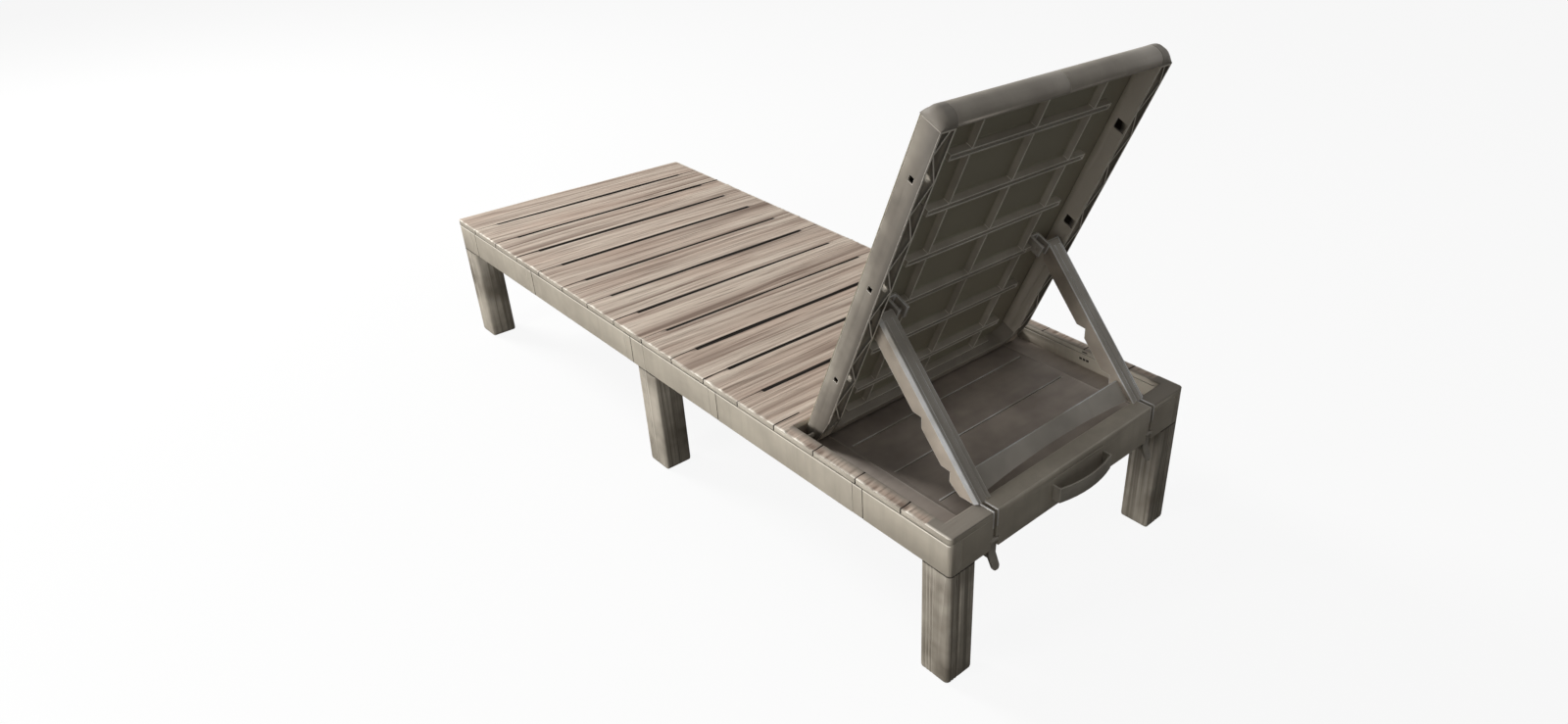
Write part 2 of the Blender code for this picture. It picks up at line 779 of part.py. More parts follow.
def build_back_panel():
    """Slatted front skin of the backrest with low ribs behind."""
    panel = make("backrest_panel", block((-back_half, 0, rib_under),
                                         (back_half, cap_start - seat_gap, hinge_depth)),
                 back, back_colour)
    skin_limit = skin_under
    low = rib_under - cut_overrun
    rib_half = back_slot_half_length + slot_wall
    clear = [sided(side, (rib_half, -cut_overrun, low),
                   (back_half + cut_overrun, cap_start + cut_overrun, skin_limit))
             for name, side in sides]
    clear.append(block((-back_half - cut_overrun, -cut_overrun, low),
                       (back_half + cut_overrun, bottom_rail_length + seat_gap, skin_limit)))
    for cut in clear:
        shape(panel, [cut])
    seams = back_seams()
    pockets = []
    bays = [-rib_half, -rib_spacing, 0, rib_spacing, rib_half]
    starts = [bottom_rail_length - slot_width] + seams
    ends = seams + [cap_start - seat_gap + slot_wall - rib_thickness]
    for start, end in zip(starts, ends):
        for left, right in zip(bays, bays[1:]):
            left_edge = left + rib_thickness / 2
            right_edge = right - rib_thickness / 2
            if left == -rib_half:
                left_edge = left - cut_overrun
            if right == rib_half:
                right_edge = right + cut_overrun
            pockets.append(block((left_edge, start + slot_width + slot_wall, low),
                                 (right_edge, end - slot_wall, skin_limit)))
    shape(panel, pockets)
    bracket_low = prop_pivot_place - bracket_length / 2
    bracket_high = prop_pivot_place + bracket_length / 2
    seat_inner = bracket_inner - seat_gap
    shape(panel, [sided(side, (seat_inner, bracket_low - seat_gap, low),
                        (rib_half + cut_overrun, bracket_high + seat_gap, skin_limit))
                  for name, side in sides])
    slots, grooves = [], []
    for seam in seams:
        near_bracket = bracket_low - slot_width < seam < bracket_high
        half = bracket_slot_half_length if near_bracket else back_slot_half_length
        slots.append(block((-half, seam, low), (half, seam + slot_width,
                                                hinge_depth + cut_overrun)))
        grooves += [sided(side, (half - seam_groove_width, seam,
                                 hinge_depth - seam_groove_depth),
                          (back_half + cut_overrun, seam + seam_groove_width,
                           hinge_depth + cut_overrun)) for name, side in sides]
    shape(panel, slots)
    shape(panel, grooves)


def end_profile(rail_end, rail_level, taper):
    """Side view of the lower end: round over the hinge, then along the back to rail_end."""
    points = [(rail_end, skin_under - seat_gap), (-seat_gap, skin_under - seat_gap),
              (-seat_gap, hinge_depth)]
    points += arc(round_centre_along, round_centre_up, end_round, 90, 180, corner_steps)[1:]
    points += arc(0, 0, bottom_overhang, 180, 270, corner_steps)
    if taper:
        points.append((taper, rail_level))
    points.append((rail_end, rail_level))
    return points


def half_plane(polygon, normal, limit):
    """The part of a convex polygon where normal times the point is at most limit."""
    kept = []
    for place, here in enumerate(polygon):
        after = polygon[(place + 1) % len(polygon)]
        over_here = normal[0] * here[0] + normal[1] * here[1] - limit
        over_after = normal[0] * after[0] + normal[1] * after[1] - limit
        if over_here <= 0:
            kept.append(here)
        if over_here * over_after < 0:
            share = over_here / (over_here - over_after)
            kept.append((here[0] + share * (after[0] - here[0]),
                         here[1] + share * (after[1] - here[1])))
    return kept


def lattice_cells():
    """Triangular cells between the zigzag walls of a side box, as X and Y outlines."""
    low_x = box_inner + box_wall
    high_x = back_half - box_wall
    start = 2 * hinge_pin_radius + box_wall
    end = cap_start - seat_gap - box_wall
    half_pitch = box_hole_pitch / 4
    slant = Vector((high_x - low_x, half_pitch)).length
    cells = []
    count = int((end - box_first_hole) / half_pitch) + 2
    for number in range(-2, count):
        middle = box_first_hole + number * half_pitch
        opens_out = number % 2 == 0
        cell = [(low_x, start), (high_x, start), (high_x, end), (low_x, end)]
        apex = low_x if opens_out else high_x
        lean = 1 if opens_out else -1
        for way in (1, -1):
            normal = (-lean * half_pitch / slant, way * (high_x - low_x) / slant)
            limit = normal[0] * apex + normal[1] * middle - box_lattice_wall / 2
            cell = half_plane(cell, normal, limit)
            if len(cell) < 3:
                break
        if len(cell) > 2:
            cells.append(cell)
    return cells


def build_side_boxes():
    """Deep side members of the backrest, open behind, with zigzag walls inside."""
    for name, side in sides:
        reach = sorted((side * box_inner, side * back_half))
        outline = end_profile(cap_start - seat_gap, rim_level, box_taper_length)
        box = make(f"backrest_side_box_{name}", prism(outline, "X", *reach), back, back_colour)
        cells = []
        for cell in lattice_cells():
            cells.append(prism(mirrored(cell, side), "Z", rim_level - cut_overrun,
                               hinge_depth + cut_overrun))
        shape(box, cells)
        count = int((cap_start - box_first_hole) / box_hole_pitch) + 1
        places = [box_first_hole + box_hole_pitch * number for number in range(count)]
        middle_up = hinge_depth - box_hole_depth
        shape(box, [sided(side, (back_half - box_wall - seat_gap, place - box_hole / 2,
                                 middle_up - box_hole / 2),
                          (back_half + cut_overrun, place + box_hole / 2,
                           middle_up + box_hole / 2)) for place in places])
        level = hinge_depth - inner_hole_depth
        shape(box, [sided(side, (box_inner - cut_overrun, place - inner_hole_length / 2,
                                 level - inner_hole_height / 2),
                          (box_inner + box_wall + seat_gap, place + inner_hole_length / 2,
                           level + inner_hole_height / 2)) for place in inner_hole_places])
        bore = sorted((side * (box_inner - cut_overrun), side * (back_half + cut_overrun)))
        shape(box, [rod(hinge_pin_radius + pin_clearance, "X", (0, 0), *bore)])
        hole = sorted((side * (box_inner - cut_overrun), side * (box_inner + box_wall)))
        shape(box, [rod(prop_pin_radius + pin_clearance, "X",
                        (prop_pivot_place, prop_pivot_rise), *hole)])
        pin = sorted((side * (box_inner + seat_gap), side * (rail_inner + hinge_pin_grip)))
        make(f"backrest_hinge_pin_{name}",
             rod(hinge_pin_radius, "X", (hinge_place, hinge_height), *pin), base, small_colour)


def cap_outline(inset):
    """Side view of the rounded top edge, drawn in by a wall and then open below."""
    radius = top_cap_round - inset
    far = back_length - top_cap_round
    start = cap_start - (cut_overrun if inset else 0)
    points = [(start, rim_level + inset)]
    points += arc(far, rim_level + top_cap_round, radius, 270, 360, cap_steps)
    points += arc(far, hinge_depth - top_cap_round, radius, 0, 90, cap_steps)
    points.append((start, hinge_depth - inset))
    return points


def build_back_ends():
    """Bottom rail, the two top rails and the top corners of the backrest."""
    width = box_inner - seat_gap
    outline = end_profile(bottom_rail_length, -bottom_overhang, 0)
    make("backrest_bottom_rail", prism(outline, "X", -width, width), back, back_colour)

    cap = cap_outline(0)
    hollow = cap_outline(top_cap_wall)
    for name, side in sides:
        reach = sorted((side * half_gap / 2, side * width))
        rail = make(f"backrest_top_rail_{name}", prism(cap, "X", *reach), back, back_colour)
        reach = sorted((side * (half_gap / 2 + top_cap_wall), side * (width - top_cap_wall)))
        shape(rail, [prism(hollow, "X", *reach)])
        outer = rounded_box((box_inner, cap_start), (back_half, back_length),
                            (0, 0, top_corner_round, 0), cap_steps)
        corner = make(f"backrest_top_corner_{name}",
                      slab(mirrored(outer, side),
                           [(rim_level - cut_overrun, 0), (hinge_depth + cut_overrun, 0)]),
                      back, back_colour)
        reach = sorted((side * (box_inner - cut_overrun), side * (back_half + cut_overrun)))
        longer = [(y - cut_overrun if y == cap_start else y, z) for y, z in cap]
        shape(corner, [prism(longer, "X", *reach)], "INTERSECT")


def arm_profile():
    """Side view of an arm from its pivot at zero to its foot, web side up."""
    cos_slope, sin_slope = math.cos(arm_slope), math.sin(arm_slope)

    def foot_at(level):
        """Where the level cut at the foot meets a height in the arm's own frame."""
        return (foot_fall + level * cos_slope) / sin_slope

    points = [(arm_length, arm_web_offset)]
    points += arc(0, 0, arm_web_offset, 90, 270, 2 * corner_steps)
    points.append((flange_start, -flange_depth))
    for share in notch_shares:
        tip = share * arm_length
        points.append((tip, -flange_depth))
        points.append((tip + notch_length, -flange_root))
        points.append((tip + 2 * notch_length, -flange_depth))
    points.append((foot_at(-flange_foot_depth), -flange_foot_depth))
    return list(reversed(points))


def build_prop():
    """Two channel arms, the brace between them, their pins and their brackets."""
    for name, side in sides:
        reach = sorted((side * arm_inner_place, side * arm_outer_place))
        arm = make(f"prop_arm_{name}", prism(arm_profile(), "X", *reach), prop, prop_colour)
        shape(arm, [sided(side, (arm_inner_place + arm_flange, -arm_length,
                                 -flange_depth - cut_overrun),
                          (arm_outer_place - arm_flange, 2 * arm_length,
                           arm_web_offset - arm_web))])
        grooves = []
        for share in arm_groove_shares:
            middle = arm_inner_place + share * arm_width
            grooves.append(sided(side, (middle - arm_groove_width / 2, arm_web_offset,
                                        arm_web_offset - arm_groove_depth),
                                 (middle + arm_groove_width / 2, 2 * arm_length,
                                  arm_web_offset + cut_overrun)))
        shape(arm, grooves)
        bore = sorted((side * (arm_inner_place - cut_overrun),
                       side * (arm_outer_place + cut_overrun)))
        shape(arm, [rod(prop_pin_radius + pin_clearance, "X", (0, 0), *bore)])

        inner = bracket_inner
        outer = arm_inner_place - bracket_arm_gap
        top = skin_under - seat_gap
        low = prop_pivot_rise - bracket_reach
        half = bracket_length / 2
        bracket = make(f"prop_bracket_{name}",
                       sided(side, (inner, prop_pivot_place - half, low),
                             (outer, prop_pivot_place + half, top)), back, prop_colour)
        shape(bracket, [sided(side, (inner + bracket_cheek,
                                     prop_pivot_place - half - cut_overrun,
                                     low - cut_overrun),
                              (outer - bracket_cheek, prop_pivot_place + half + cut_overrun,
                               top - bracket_base))])
        bore = sorted((side * (inner - cut_overrun), side * (outer + cut_overrun)))
        shape(bracket, [rod(prop_pin_radius + pin_clearance, "X",
                            (prop_pivot_place, prop_pivot_rise), *bore)])
        pin = sorted((side * (inner - seat_gap), side * (box_inner + box_wall - seat_gap)))
        make(f"prop_pin_{name}", rod(prop_pin_radius, "X",
                                     (prop_pivot_place, prop_pivot_rise), *pin), back,
             small_colour)
    build_brace()


def build_brace():
    """Plate across the arms, near their feet, with an arched lower edge and a lip."""
    width = arm_inner_place - seat_gap
    upper = -brace_drop
    lower = upper - brace_thickness
    end = (foot_fall + lower * math.cos(arm_slope)) / math.sin(arm_slope)
    start = end - brace_length
    outline = [(-width, start), (width, start), (width, end)]
    for step in range(1, round_steps):
        share = 1 - 2 * step / round_steps
        outline.append((share * width, end - brace_arch * (1 - share ** 2)))
    outline.append((-width, end))
    brace = make("prop_brace", prism(outline, "Z", lower, upper), prop, prop_colour)
    shape(brace, [block((-width, start, lower - brace_lip),
                        (width, start + brace_thickness, lower + brace_thickness / 2))],
          "UNION")


build_deck()
build_rails()
build_legs()
build_head_rail()
build_latches()
build_tray()
build_back_panel()
build_side_boxes()
build_back_ends()
build_prop()
bpy.context.view_layer.update()
print("recline from rest to flat, degrees", math.degrees(recline_flat - recline_rest))
print("prop from rest to stowed, degrees", math.degrees(arm_slope + recline_rest))
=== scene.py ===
import json
import math
import bmesh
import bpy
from mathutils import Matrix, Vector, noise

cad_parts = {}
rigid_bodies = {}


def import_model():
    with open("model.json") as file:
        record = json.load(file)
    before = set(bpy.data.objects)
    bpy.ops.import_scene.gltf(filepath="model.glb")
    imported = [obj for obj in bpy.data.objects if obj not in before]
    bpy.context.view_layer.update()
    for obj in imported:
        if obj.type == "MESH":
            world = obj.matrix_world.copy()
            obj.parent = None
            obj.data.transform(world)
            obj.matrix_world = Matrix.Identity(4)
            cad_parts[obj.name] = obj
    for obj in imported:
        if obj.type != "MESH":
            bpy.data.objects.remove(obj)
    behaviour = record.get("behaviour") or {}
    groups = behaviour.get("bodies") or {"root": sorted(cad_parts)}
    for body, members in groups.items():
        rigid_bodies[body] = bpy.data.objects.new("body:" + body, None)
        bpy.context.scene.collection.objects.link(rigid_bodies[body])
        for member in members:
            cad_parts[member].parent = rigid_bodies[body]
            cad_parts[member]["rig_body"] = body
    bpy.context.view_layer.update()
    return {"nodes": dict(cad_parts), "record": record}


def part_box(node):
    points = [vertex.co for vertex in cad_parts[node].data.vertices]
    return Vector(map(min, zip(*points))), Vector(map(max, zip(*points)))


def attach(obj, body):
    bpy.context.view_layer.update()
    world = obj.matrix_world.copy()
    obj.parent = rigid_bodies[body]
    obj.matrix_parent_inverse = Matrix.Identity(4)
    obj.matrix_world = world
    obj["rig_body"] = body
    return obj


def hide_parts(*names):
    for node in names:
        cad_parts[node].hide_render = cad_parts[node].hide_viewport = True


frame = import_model()
print("frame loaded:", len(frame["nodes"]), "nodes")

# the photograph's camera
photoCamera = {
    "place": (1.1230870, 1.5593825, 1.2485909),
    "aim": (-0.0549268, 0.4389489, 0.3),
    "roll": 0.0226854,          # radians, clockwise
    "focal": 1040.61,           # pixels of a 1600 px wide picture
    "centre": (963.61, 365.555),
    "picture": (1600, 739),
    "sensor": 36,               # millimetres
    "clip": (0.05, 60),
}


def makeCamera(look):
    width, height = look["picture"]
    place, aim = Vector(look["place"]), Vector(look["aim"])
    ahead = (aim - place).normalized()
    right = ahead.cross(Vector((0, 0, 1))).normalized()
    above = right.cross(ahead)
    turn = look["roll"]
    rightTurned = math.cos(turn) * right + math.sin(turn) * above
    aboveTurned = math.cos(turn) * above - math.sin(turn) * right
    data = bpy.data.cameras.new("photoCamera")
    data.sensor_fit = "HORIZONTAL"
    data.sensor_width = look["sensor"]
    data.lens = look["focal"] * look["sensor"] / width
    data.shift_x = (width / 2 - look["centre"][0]) / width
    data.shift_y = (look["centre"][1] - height / 2) / width
    data.clip_start, data.clip_end = look["clip"]
    camera = bpy.data.objects.new("photoCamera", data)
    bpy.context.scene.collection.objects.link(camera)
    matrix = Matrix((rightTurned, aboveTurned, -ahead)).transposed().to_4x4()
    matrix.translation = place
    camera.matrix_world = matrix
    bpy.context.scene.camera = camera


makeCamera(photoCamera)
print("camera set")


def tone(red, green, blue):
    # a colour as a paint chart gives it, 0 to 255, made linear
    return tuple((v / 255 / 12.92 if v < 11 else ((v / 255 + 0.055) / 1.055) ** 2.4)
                 for v in (red, green, blue)) + (1,)


class Signal:
    # one socket of a node tree; sums and products of signals add their Math nodes
    def __init__(self, nodes, socket):
        self.nodes, self.socket = nodes, socket

    def maths(self, operation, first, second):
        return self.nodes.add("ShaderNodeMath", {"operation": operation}, {0: first, 1: second})

    def __add__(self, other):
        return self.maths("ADD", self, other)

    def __sub__(self, other):
        return self.maths("SUBTRACT", self, other)

    def __rsub__(self, other):
        return self.maths("SUBTRACT", other, self)

    def __mul__(self, other):
        return self.maths("MULTIPLY", self, other)

    def orMore(self, other):
        return self.maths("MAXIMUM", self, other)


class Nodes:
    # a node tree under construction
    def __init__(self, tree):
        self.tree = tree
        tree.nodes.clear()

    def add(self, kind, settings=None, sockets=None, output=0):
        node = self.tree.nodes.new(kind)
        for name, value in (settings or {}).items():
            setattr(node, name, value)
        for name, value in (sockets or {}).items():
            if isinstance(value, Signal):
                self.tree.links.new(value.socket, node.inputs[name])
            else:
                node.inputs[name].default_value = value
        return Signal(self, node.outputs[output]) if node.outputs else None


class Finish(Nodes):
    # a material under construction
    def __init__(self, name):
        self.material = bpy.data.materials.new(name)
        self.material.use_nodes = True
        super().__init__(self.material.node_tree)

    def place(self):
        return self.add("ShaderNodeTexCoord", output="Object")

    def axes(self):
        # the three Object coordinates, one signal each
        node = self.add("ShaderNodeSeparateXYZ", sockets={0: self.place()}).socket.node
        return [Signal(self, socket) for socket in node.outputs]

    def attribute(self, name):
        return self.add("ShaderNodeAttribute", {"attribute_name": name}, output=2)

    def point(self, x, y, z):
        return self.add("ShaderNodeCombineXYZ", sockets={0: x, 1: y, 2: z})

    def cloud(self, where, scale=1.0, detail=3.0, rough=0.55):
        return self.add("ShaderNodeTexNoise", sockets={
            "Vector": where, "Scale": scale, "Detail": detail, "Roughness": rough})

    def span(self, value, low, high, start=0.0, end=1.0):
        return self.add("ShaderNodeMapRange", {"clamp": True}, {
            0: value, 1: low, 2: high, 3: start, 4: end})

    def blend(self, first, second, share):
        return self.add("ShaderNodeMix", {"data_type": "RGBA"},
                        {0: share, 6: first, 7: second}, output=2)

    def close(self, colour, roughness, height, depth, specular=0.3):
        bump = self.add("ShaderNodeBump", sockets={
            "Strength": 1.0, "Distance": depth, "Height": height})
        shader = self.add("ShaderNodeBsdfPrincipled", sockets={
            "Base Color": colour, "Roughness": roughness, "Normal": bump,
            "Specular IOR Level": specular})
        self.add("ShaderNodeOutputMaterial", sockets={"Surface": shader})
        return self.material


# where the slatted panels' forms lie: the deck's in the lounger's own x and y, the
# backrest's across and up from its hinge, with its recline in degrees
deckLayout = {
    "foldLine": -0.0195, "plankPitch": 0.1018, "slotEnd": 0.246, "slotWidth": 0.006,
    "seamsEachWay": 7, "firstBesideTray": 5, "solidBeforeTray": 0.03, "cornerRadius": 0.008,
    "openingFront": 0.4127, "slitInner": 0.2000, "slitOuter": 0.2070, "skin": 0.0025,
    "past": 0.001,              # how far an open slot reaches past the panel's end
}
backLayout = {
    "hinge": (0, 0.433762, 0.2746), "recline": 66, "face": 0.020, "half": 0.253,
    "long": 0.6497, "seamFirst": 0.0663, "seamPitch": 0.0999,
    "slotEnds": (0.176, 0.176, 0.146, 0.176, 0.176, 0.176), "skin": 0.0015,
    "lean": (0.4067, 0.9135),   # the recline's cosine and sine, as the finishes use them
}

# wood-look planks: the streak attribute follows the moulded relief, fine pores are painted.
# Each grain: how fast it changes along and across a plank and from plank to plank, and its
# detail. Each span: where a tone starts and is full, and its least and greatest share
deckFinish = {
    "light": tone(222, 207, 190), "middle": tone(186, 168, 153), "dark": tone(126, 108, 95),
    # the plain tone, over the head corners where the grain fades, is darker as painted shade
    "rosy": tone(194, 170, 153), "plain": tone(150, 142, 131), "rim": tone(248, 240, 226),
    # the darkest tone is painted shade beside the slots and in the seam grooves
    "grooveShade": tone(16, 12, 10),
    "slowGrain": (2.2, 7.0, 3.71, 2.0), "fineGrain": (6.0, 170.0, 1.0, 3.0),
    "patchGrain": (3.0, 16.0, 9.1, 2.0), "bend": 0.010,
    "lightSpan": (0.30, 0.85), "rosySpan": (0.42, 0.74, 0.0, 0.7),
    "poreSpan": (0.52, 0.66, 0.0, 0.66), "hollowSpan": (0.36, 0.0, 0.0, 0.9),
    # the rim tone is a painted highlight along the outer edges, stronger where the grain stands
    # higher
    "rimHighlightSpan": (0.15, 0.7, 0.3, 1.0), "roughness": (0.2, 0.8, 0.80, 0.64),
    "specular": 0.18, "bumpDepth": 0.0007,
}


def plankFinish(name, look, slope):
    # slope: how the way across the planks lies, as shares of Y and Z
    finish = Finish(name)
    x, y, z = finish.axes()
    cross = y * slope[0] + z * slope[1]
    streak, plank = finish.attribute("streak"), finish.attribute("plank")

    def grain(kind, way, layer):
        along, across, step, detail = look[kind]
        where = finish.point(x * along + plank * step, way * across, layer)
        return finish.cloud(where, 1.0, detail)

    slow = grain("slowGrain", cross, plank)
    fine = grain("fineGrain", cross + (slow - 0.5) * look["bend"], plank)
    patch = grain("patchGrain", cross, 0.0)
    colour = finish.blend(look["middle"], look["light"], finish.span(streak, *look["lightSpan"]))
    colour = finish.blend(colour, look["rosy"], finish.span(patch, *look["rosySpan"]))
    colour = finish.blend(colour, look["dark"], finish.span(fine, *look["poreSpan"]))
    colour = finish.blend(colour, look["dark"], finish.span(streak, *look["hollowSpan"]))
    # the plain share takes a darker tone, partly painted shade
    colour = finish.blend(colour, look["plain"], finish.attribute("plain"))
    # a painted highlight along the outer edges
    rim = finish.attribute("rim") * finish.span(streak, *look["rimHighlightSpan"])
    colour = finish.blend(colour, look["rim"], rim)
    # painted shade beside the slots and in the seam grooves
    colour = finish.blend(colour, look["grooveShade"], finish.attribute("grooveShade"))
    rough = finish.span(streak, *look["roughness"])
    return finish.close(colour, rough, fine, look["bumpDepth"], look["specular"])


# plain moulded plastic: mottled, faintly drawn one way, with a fine sparked skin
plasticFinish = {
    "mottle": 9.0, "drawn": 60.0, "skin": 900.0, "soft": 0.6, "bumpDepth": 0.00035,
    "mottleSpan": (0.36, 0.68), "drawnSpan": (0.46, 0.72), "drawnShare": (0.35, 0.15, 0.9),
    # rim is the tone of painted highlights, shadow the tone of painted shadows
    "roughness": (0.3, 0.7, 0.48, 0.64), "rim": tone(236, 229, 216),
    "shadow": tone(58, 52, 45),
}
# what differs on the legs, by height and by distance out: their lines are crisper and fade
# on the outer faces, and a shadow gap shows where a leg plugs into its block
legFinish = {"drawnSpan": (0.46, 0.60), "outerSpan": (0.2982, 0.2990, 1.0, 0.30),
             "joint": (0.2190, 0.2206)}
# a painted highlight and a painted shadow below the deck panels, along the outer sides
seamFinish = {"outside": (0.2970, 0.2980), "paleHighlightFrom": (0.2778, 0.2786),
              "paleHighlightUntil": (0.2806, 0.2800), "paleHighlightShare": 0.8,
              "dark": (0.2808, 0.2814), "darkShare": 0.7}
# the backrest's pockets and side boxes, by depth behind its face and by distance out, with
# painted shade and painted highlights
pocketShadeSpan = (0.0036, 0.0072)
boxFinish = {
    "cellsInner": (0.2258, 0.2266), "cellsOuter": (0.2504, 0.2496),
    "depthShade": (0.010, 0.038, 0.0, 0.9), "cellShadeToCells": (0.018, 0.027),
    "cellsUntil": (0.0405, 0.0340), "rimHighlightFrom": (0.0400, 0.0408), "innerWall": (0.2242, 0.2240),
    "cellShade": tone(60, 54, 47), "inner": tone(206, 197, 183),
}


def boxTones(finish, colour, shade, cells, aside, behind, look=boxFinish):
    inside = finish.span(aside, *look["cellsInner"]) * finish.span(aside, *look["cellsOuter"])
    # painted shade, deeper toward the side boxes' backs
    colour = finish.blend(colour, shade, finish.span(behind, *look["depthShade"]))
    # painted shade deep in the cells, a lighter tone nearer their rims as painted light
    cellTone = finish.blend(look["cellShade"], cells, finish.span(behind, *look["cellShadeToCells"]))
    colour = finish.blend(colour, cellTone, inside * finish.span(behind, *look["cellsUntil"]))
    # a painted highlight along the rims
    colour = finish.blend(colour, plasticFinish["rim"], finish.span(behind, *look["rimHighlightFrom"]))
    # the inner wall toned lighter, painted light
    return finish.blend(colour, look["inner"], finish.span(aside, *look["innerWall"]))


# painted highlight and painted shadow along the outer sides, below the deck panels
def seamTones(finish, colour, aside, z, look=seamFinish):
    outside = finish.span(aside, *look["outside"])
    paleHighlight = finish.span(z, *look["paleHighlightFrom"]) * finish.span(z, *look["paleHighlightUntil"])
    colour = finish.blend(colour, plasticFinish["rim"], outside * paleHighlight * look["paleHighlightShare"])
    return finish.blend(colour, plasticFinish["shadow"],
                        outside * finish.span(z, *look["dark"]) * look["darkShare"])


def plasticShade(name, base, shade, run, deep, pocket=None, cells=None, line=None,
                 look=plasticFinish):
    finish = Finish(name)
    x, y, z = finish.axes()
    mottle = finish.cloud(finish.place(), look["mottle"], 3.0, look["soft"])
    stretched = finish.point(*[axis * (look["drawn"] * share)
                               for axis, share in zip((x, y, z), run)])
    drawn = finish.cloud(stretched, 1.0, 3.0, look["soft"])
    skin = finish.cloud(finish.place(), look["skin"], 2.0, look["soft"])
    colour = finish.blend(base, shade, finish.span(mottle, *look["mottleSpan"]))
    aside = finish.add("ShaderNodeMath", {"operation": "ABSOLUTE"}, {0: x})
    least, more, most = look["drawnShare"]
    start, full = (legFinish if line == "legJoint" else look)["drawnSpan"]
    lined = finish.span(drawn, start, full, 0.0, min(least + more * deep, most))
    if line == "legJoint":
        lined = lined * finish.span(aside, *legFinish["outerSpan"])
    colour = finish.blend(colour, shade, lined)
    # depth behind the backrest's face
    lean, hingePlace = backLayout["lean"], backLayout["hinge"]
    behind = backLayout["face"] - (z - hingePlace[2]) * lean[0] + (y - hingePlace[1]) * lean[1]
    # the pockets' floors take a darker tone, painted shade
    if pocket:
        colour = finish.blend(pocket, colour, finish.span(behind, *pocketShadeSpan))
    if cells:
        colour = boxTones(finish, colour, shade, cells, aside, behind)
    if line == "legJoint":
        colour = finish.blend(colour, look["shadow"], finish.span(z, *legFinish["joint"]))
    if line == "panelSeam":
        colour = seamTones(finish, colour, aside, z)
    rough = finish.span(mottle, *look["roughness"])
    return finish.close(colour, rough, skin * look["soft"] + drawn * deep, look["bumpDepth"])


# base tone, its shade, edge tone (lighter: a painted highlight on the rounded edges), how
# fast the drawn lines change along x, y and z, how deep they are, and the lines at its joints
backRun = (0.5, 0.1, 0.1)
plasticTones = {
    "deck": (tone(188, 179, 163), tone(168, 159, 145), tone(210, 202, 187),
             (1.0, 1.0, 0.08), 1.0, None),
    "frame": (tone(186, 177, 161), tone(164, 155, 141), tone(206, 198, 183),
              (1.0, 1.0, 0.08), 1.0, "panelSeam"),
    "legs": (tone(196, 187, 172), tone(120, 112, 100), tone(198, 190, 175),
             (2.2, 2.2, 0.03), 3.0, "legJoint"),
    "tray": (tone(180, 168, 157), tone(148, 137, 128), tone(206, 198, 187),
             (0.08, 0.6, 1.0), 0.8, None),
    "backrest": (tone(178, 170, 158), tone(156, 148, 137), tone(206, 200, 188),
                 backRun, 0.6, None),
    "prop": (tone(190, 183, 172), tone(166, 159, 149), tone(250, 250, 250),
             (0.4, 0.1, 0.1), 0.6, None),
    "small_parts": (tone(176, 169, 157), tone(150, 143, 132), tone(204, 198, 186),
                    (0.3, 0.3, 0.3), 0.6, None),
}
materials = {}
for slotName, (base, shade, edge, run, deep, line) in plasticTones.items():
    materials[slotName] = [plasticShade(slotName + "Plastic", base, shade, run, deep, line=line),
                           plasticShade(slotName + "Edge", edge, base, run, deep, line=line)]

# single faces and pieces: base tone, shade, run and depth of the lines, then the tone of
# the pockets' floors, a painted shade, or of the side boxes' cells, lighter as painted light
pocketShadeTone, cellsLitTone = tone(156, 150, 132), tone(206, 197, 182)
faceTones = {
    # dark joint lines, also used as painted shade in the slots, the notches and the catch pockets
    "jointShadow": (tone(46, 40, 34), tone(38, 33, 28), (1, 1, 1), 0.3),
    # the panel's back toned lighter as painted light on its rib tops and sides
    "panelBack": (tone(196, 188, 174), tone(172, 164, 151), backRun, 0.6, pocketShadeTone),
    # a pale tone on the ribs' rounded edges, painted highlight
    "ribHighlight": (tone(248, 243, 232), tone(214, 208, 196), backRun, 0.6, pocketShadeTone),
    # the side boxes toned darker as painted shade
    "sideBoxPlastic": (tone(164, 156, 143), tone(110, 103, 94), backRun, 0.6, None, cellsLitTone),
    "armSide": (tone(190, 178, 163), tone(146, 135, 122), (0.4, 0.1, 0.1), 0.6),
    # a darker tone for the cap's rounded ends, painted shade
    "capCornerShade": (tone(150, 143, 133), tone(128, 121, 111), backRun, 0.6),
    # pale strips along the tray's slots, painted highlights
    "traySlotHighlight": (tone(252, 250, 246), tone(186, 178, 168), (0.5, 0.2, 0.2), 0.2),
}
shades = {name: plasticShade(name, *row) for name, row in faceTones.items()}
jointsAndShade = shades["jointShadow"]
panelBack = [shades["panelBack"], shades["ribHighlight"]]
sideBoxPair = [shades["sideBoxPlastic"], materials["backrest"][1]]
armFaces = materials["prop"] + [shades["armSide"]]
deckGrain = plankFinish("deckGrain", deckFinish, (1.0, 0.0))
backGrain = plankFinish("backGrain", deckFinish, backLayout["lean"])
print("materials ready:", len(bpy.data.materials))

# how far a moulding's edges are rounded, by the slot it takes its finish from
edgeRounding = {"deck": 0.0012, "frame": 0.0010, "legs": 0.0022, "tray": 0.0008,
                "backrest": 0.0008, "prop": 0.0016, "small_parts": 0.0007}
# how the solids' facets are read, angles in degrees: what counts as flat, as the facets of
# a round corner and as an edge, and how much of the room beside an edge rounding may take
mouldingLook = {"merge": 0.00002, "flat": 0.5, "facets": (24, 33), "edge": 28,
                "finer": ("leg", "side_rail", "deck_panel"), "finerShare": 40,
                "roomShare": 0.42, "leastRound": 0.0001, "segments": 2}
slotOfNode = {row["node"]: row["material_slot"] for row in frame["record"]["subparts"]}


def only(kind, items):
    return [item for item in items if isinstance(item, kind)]


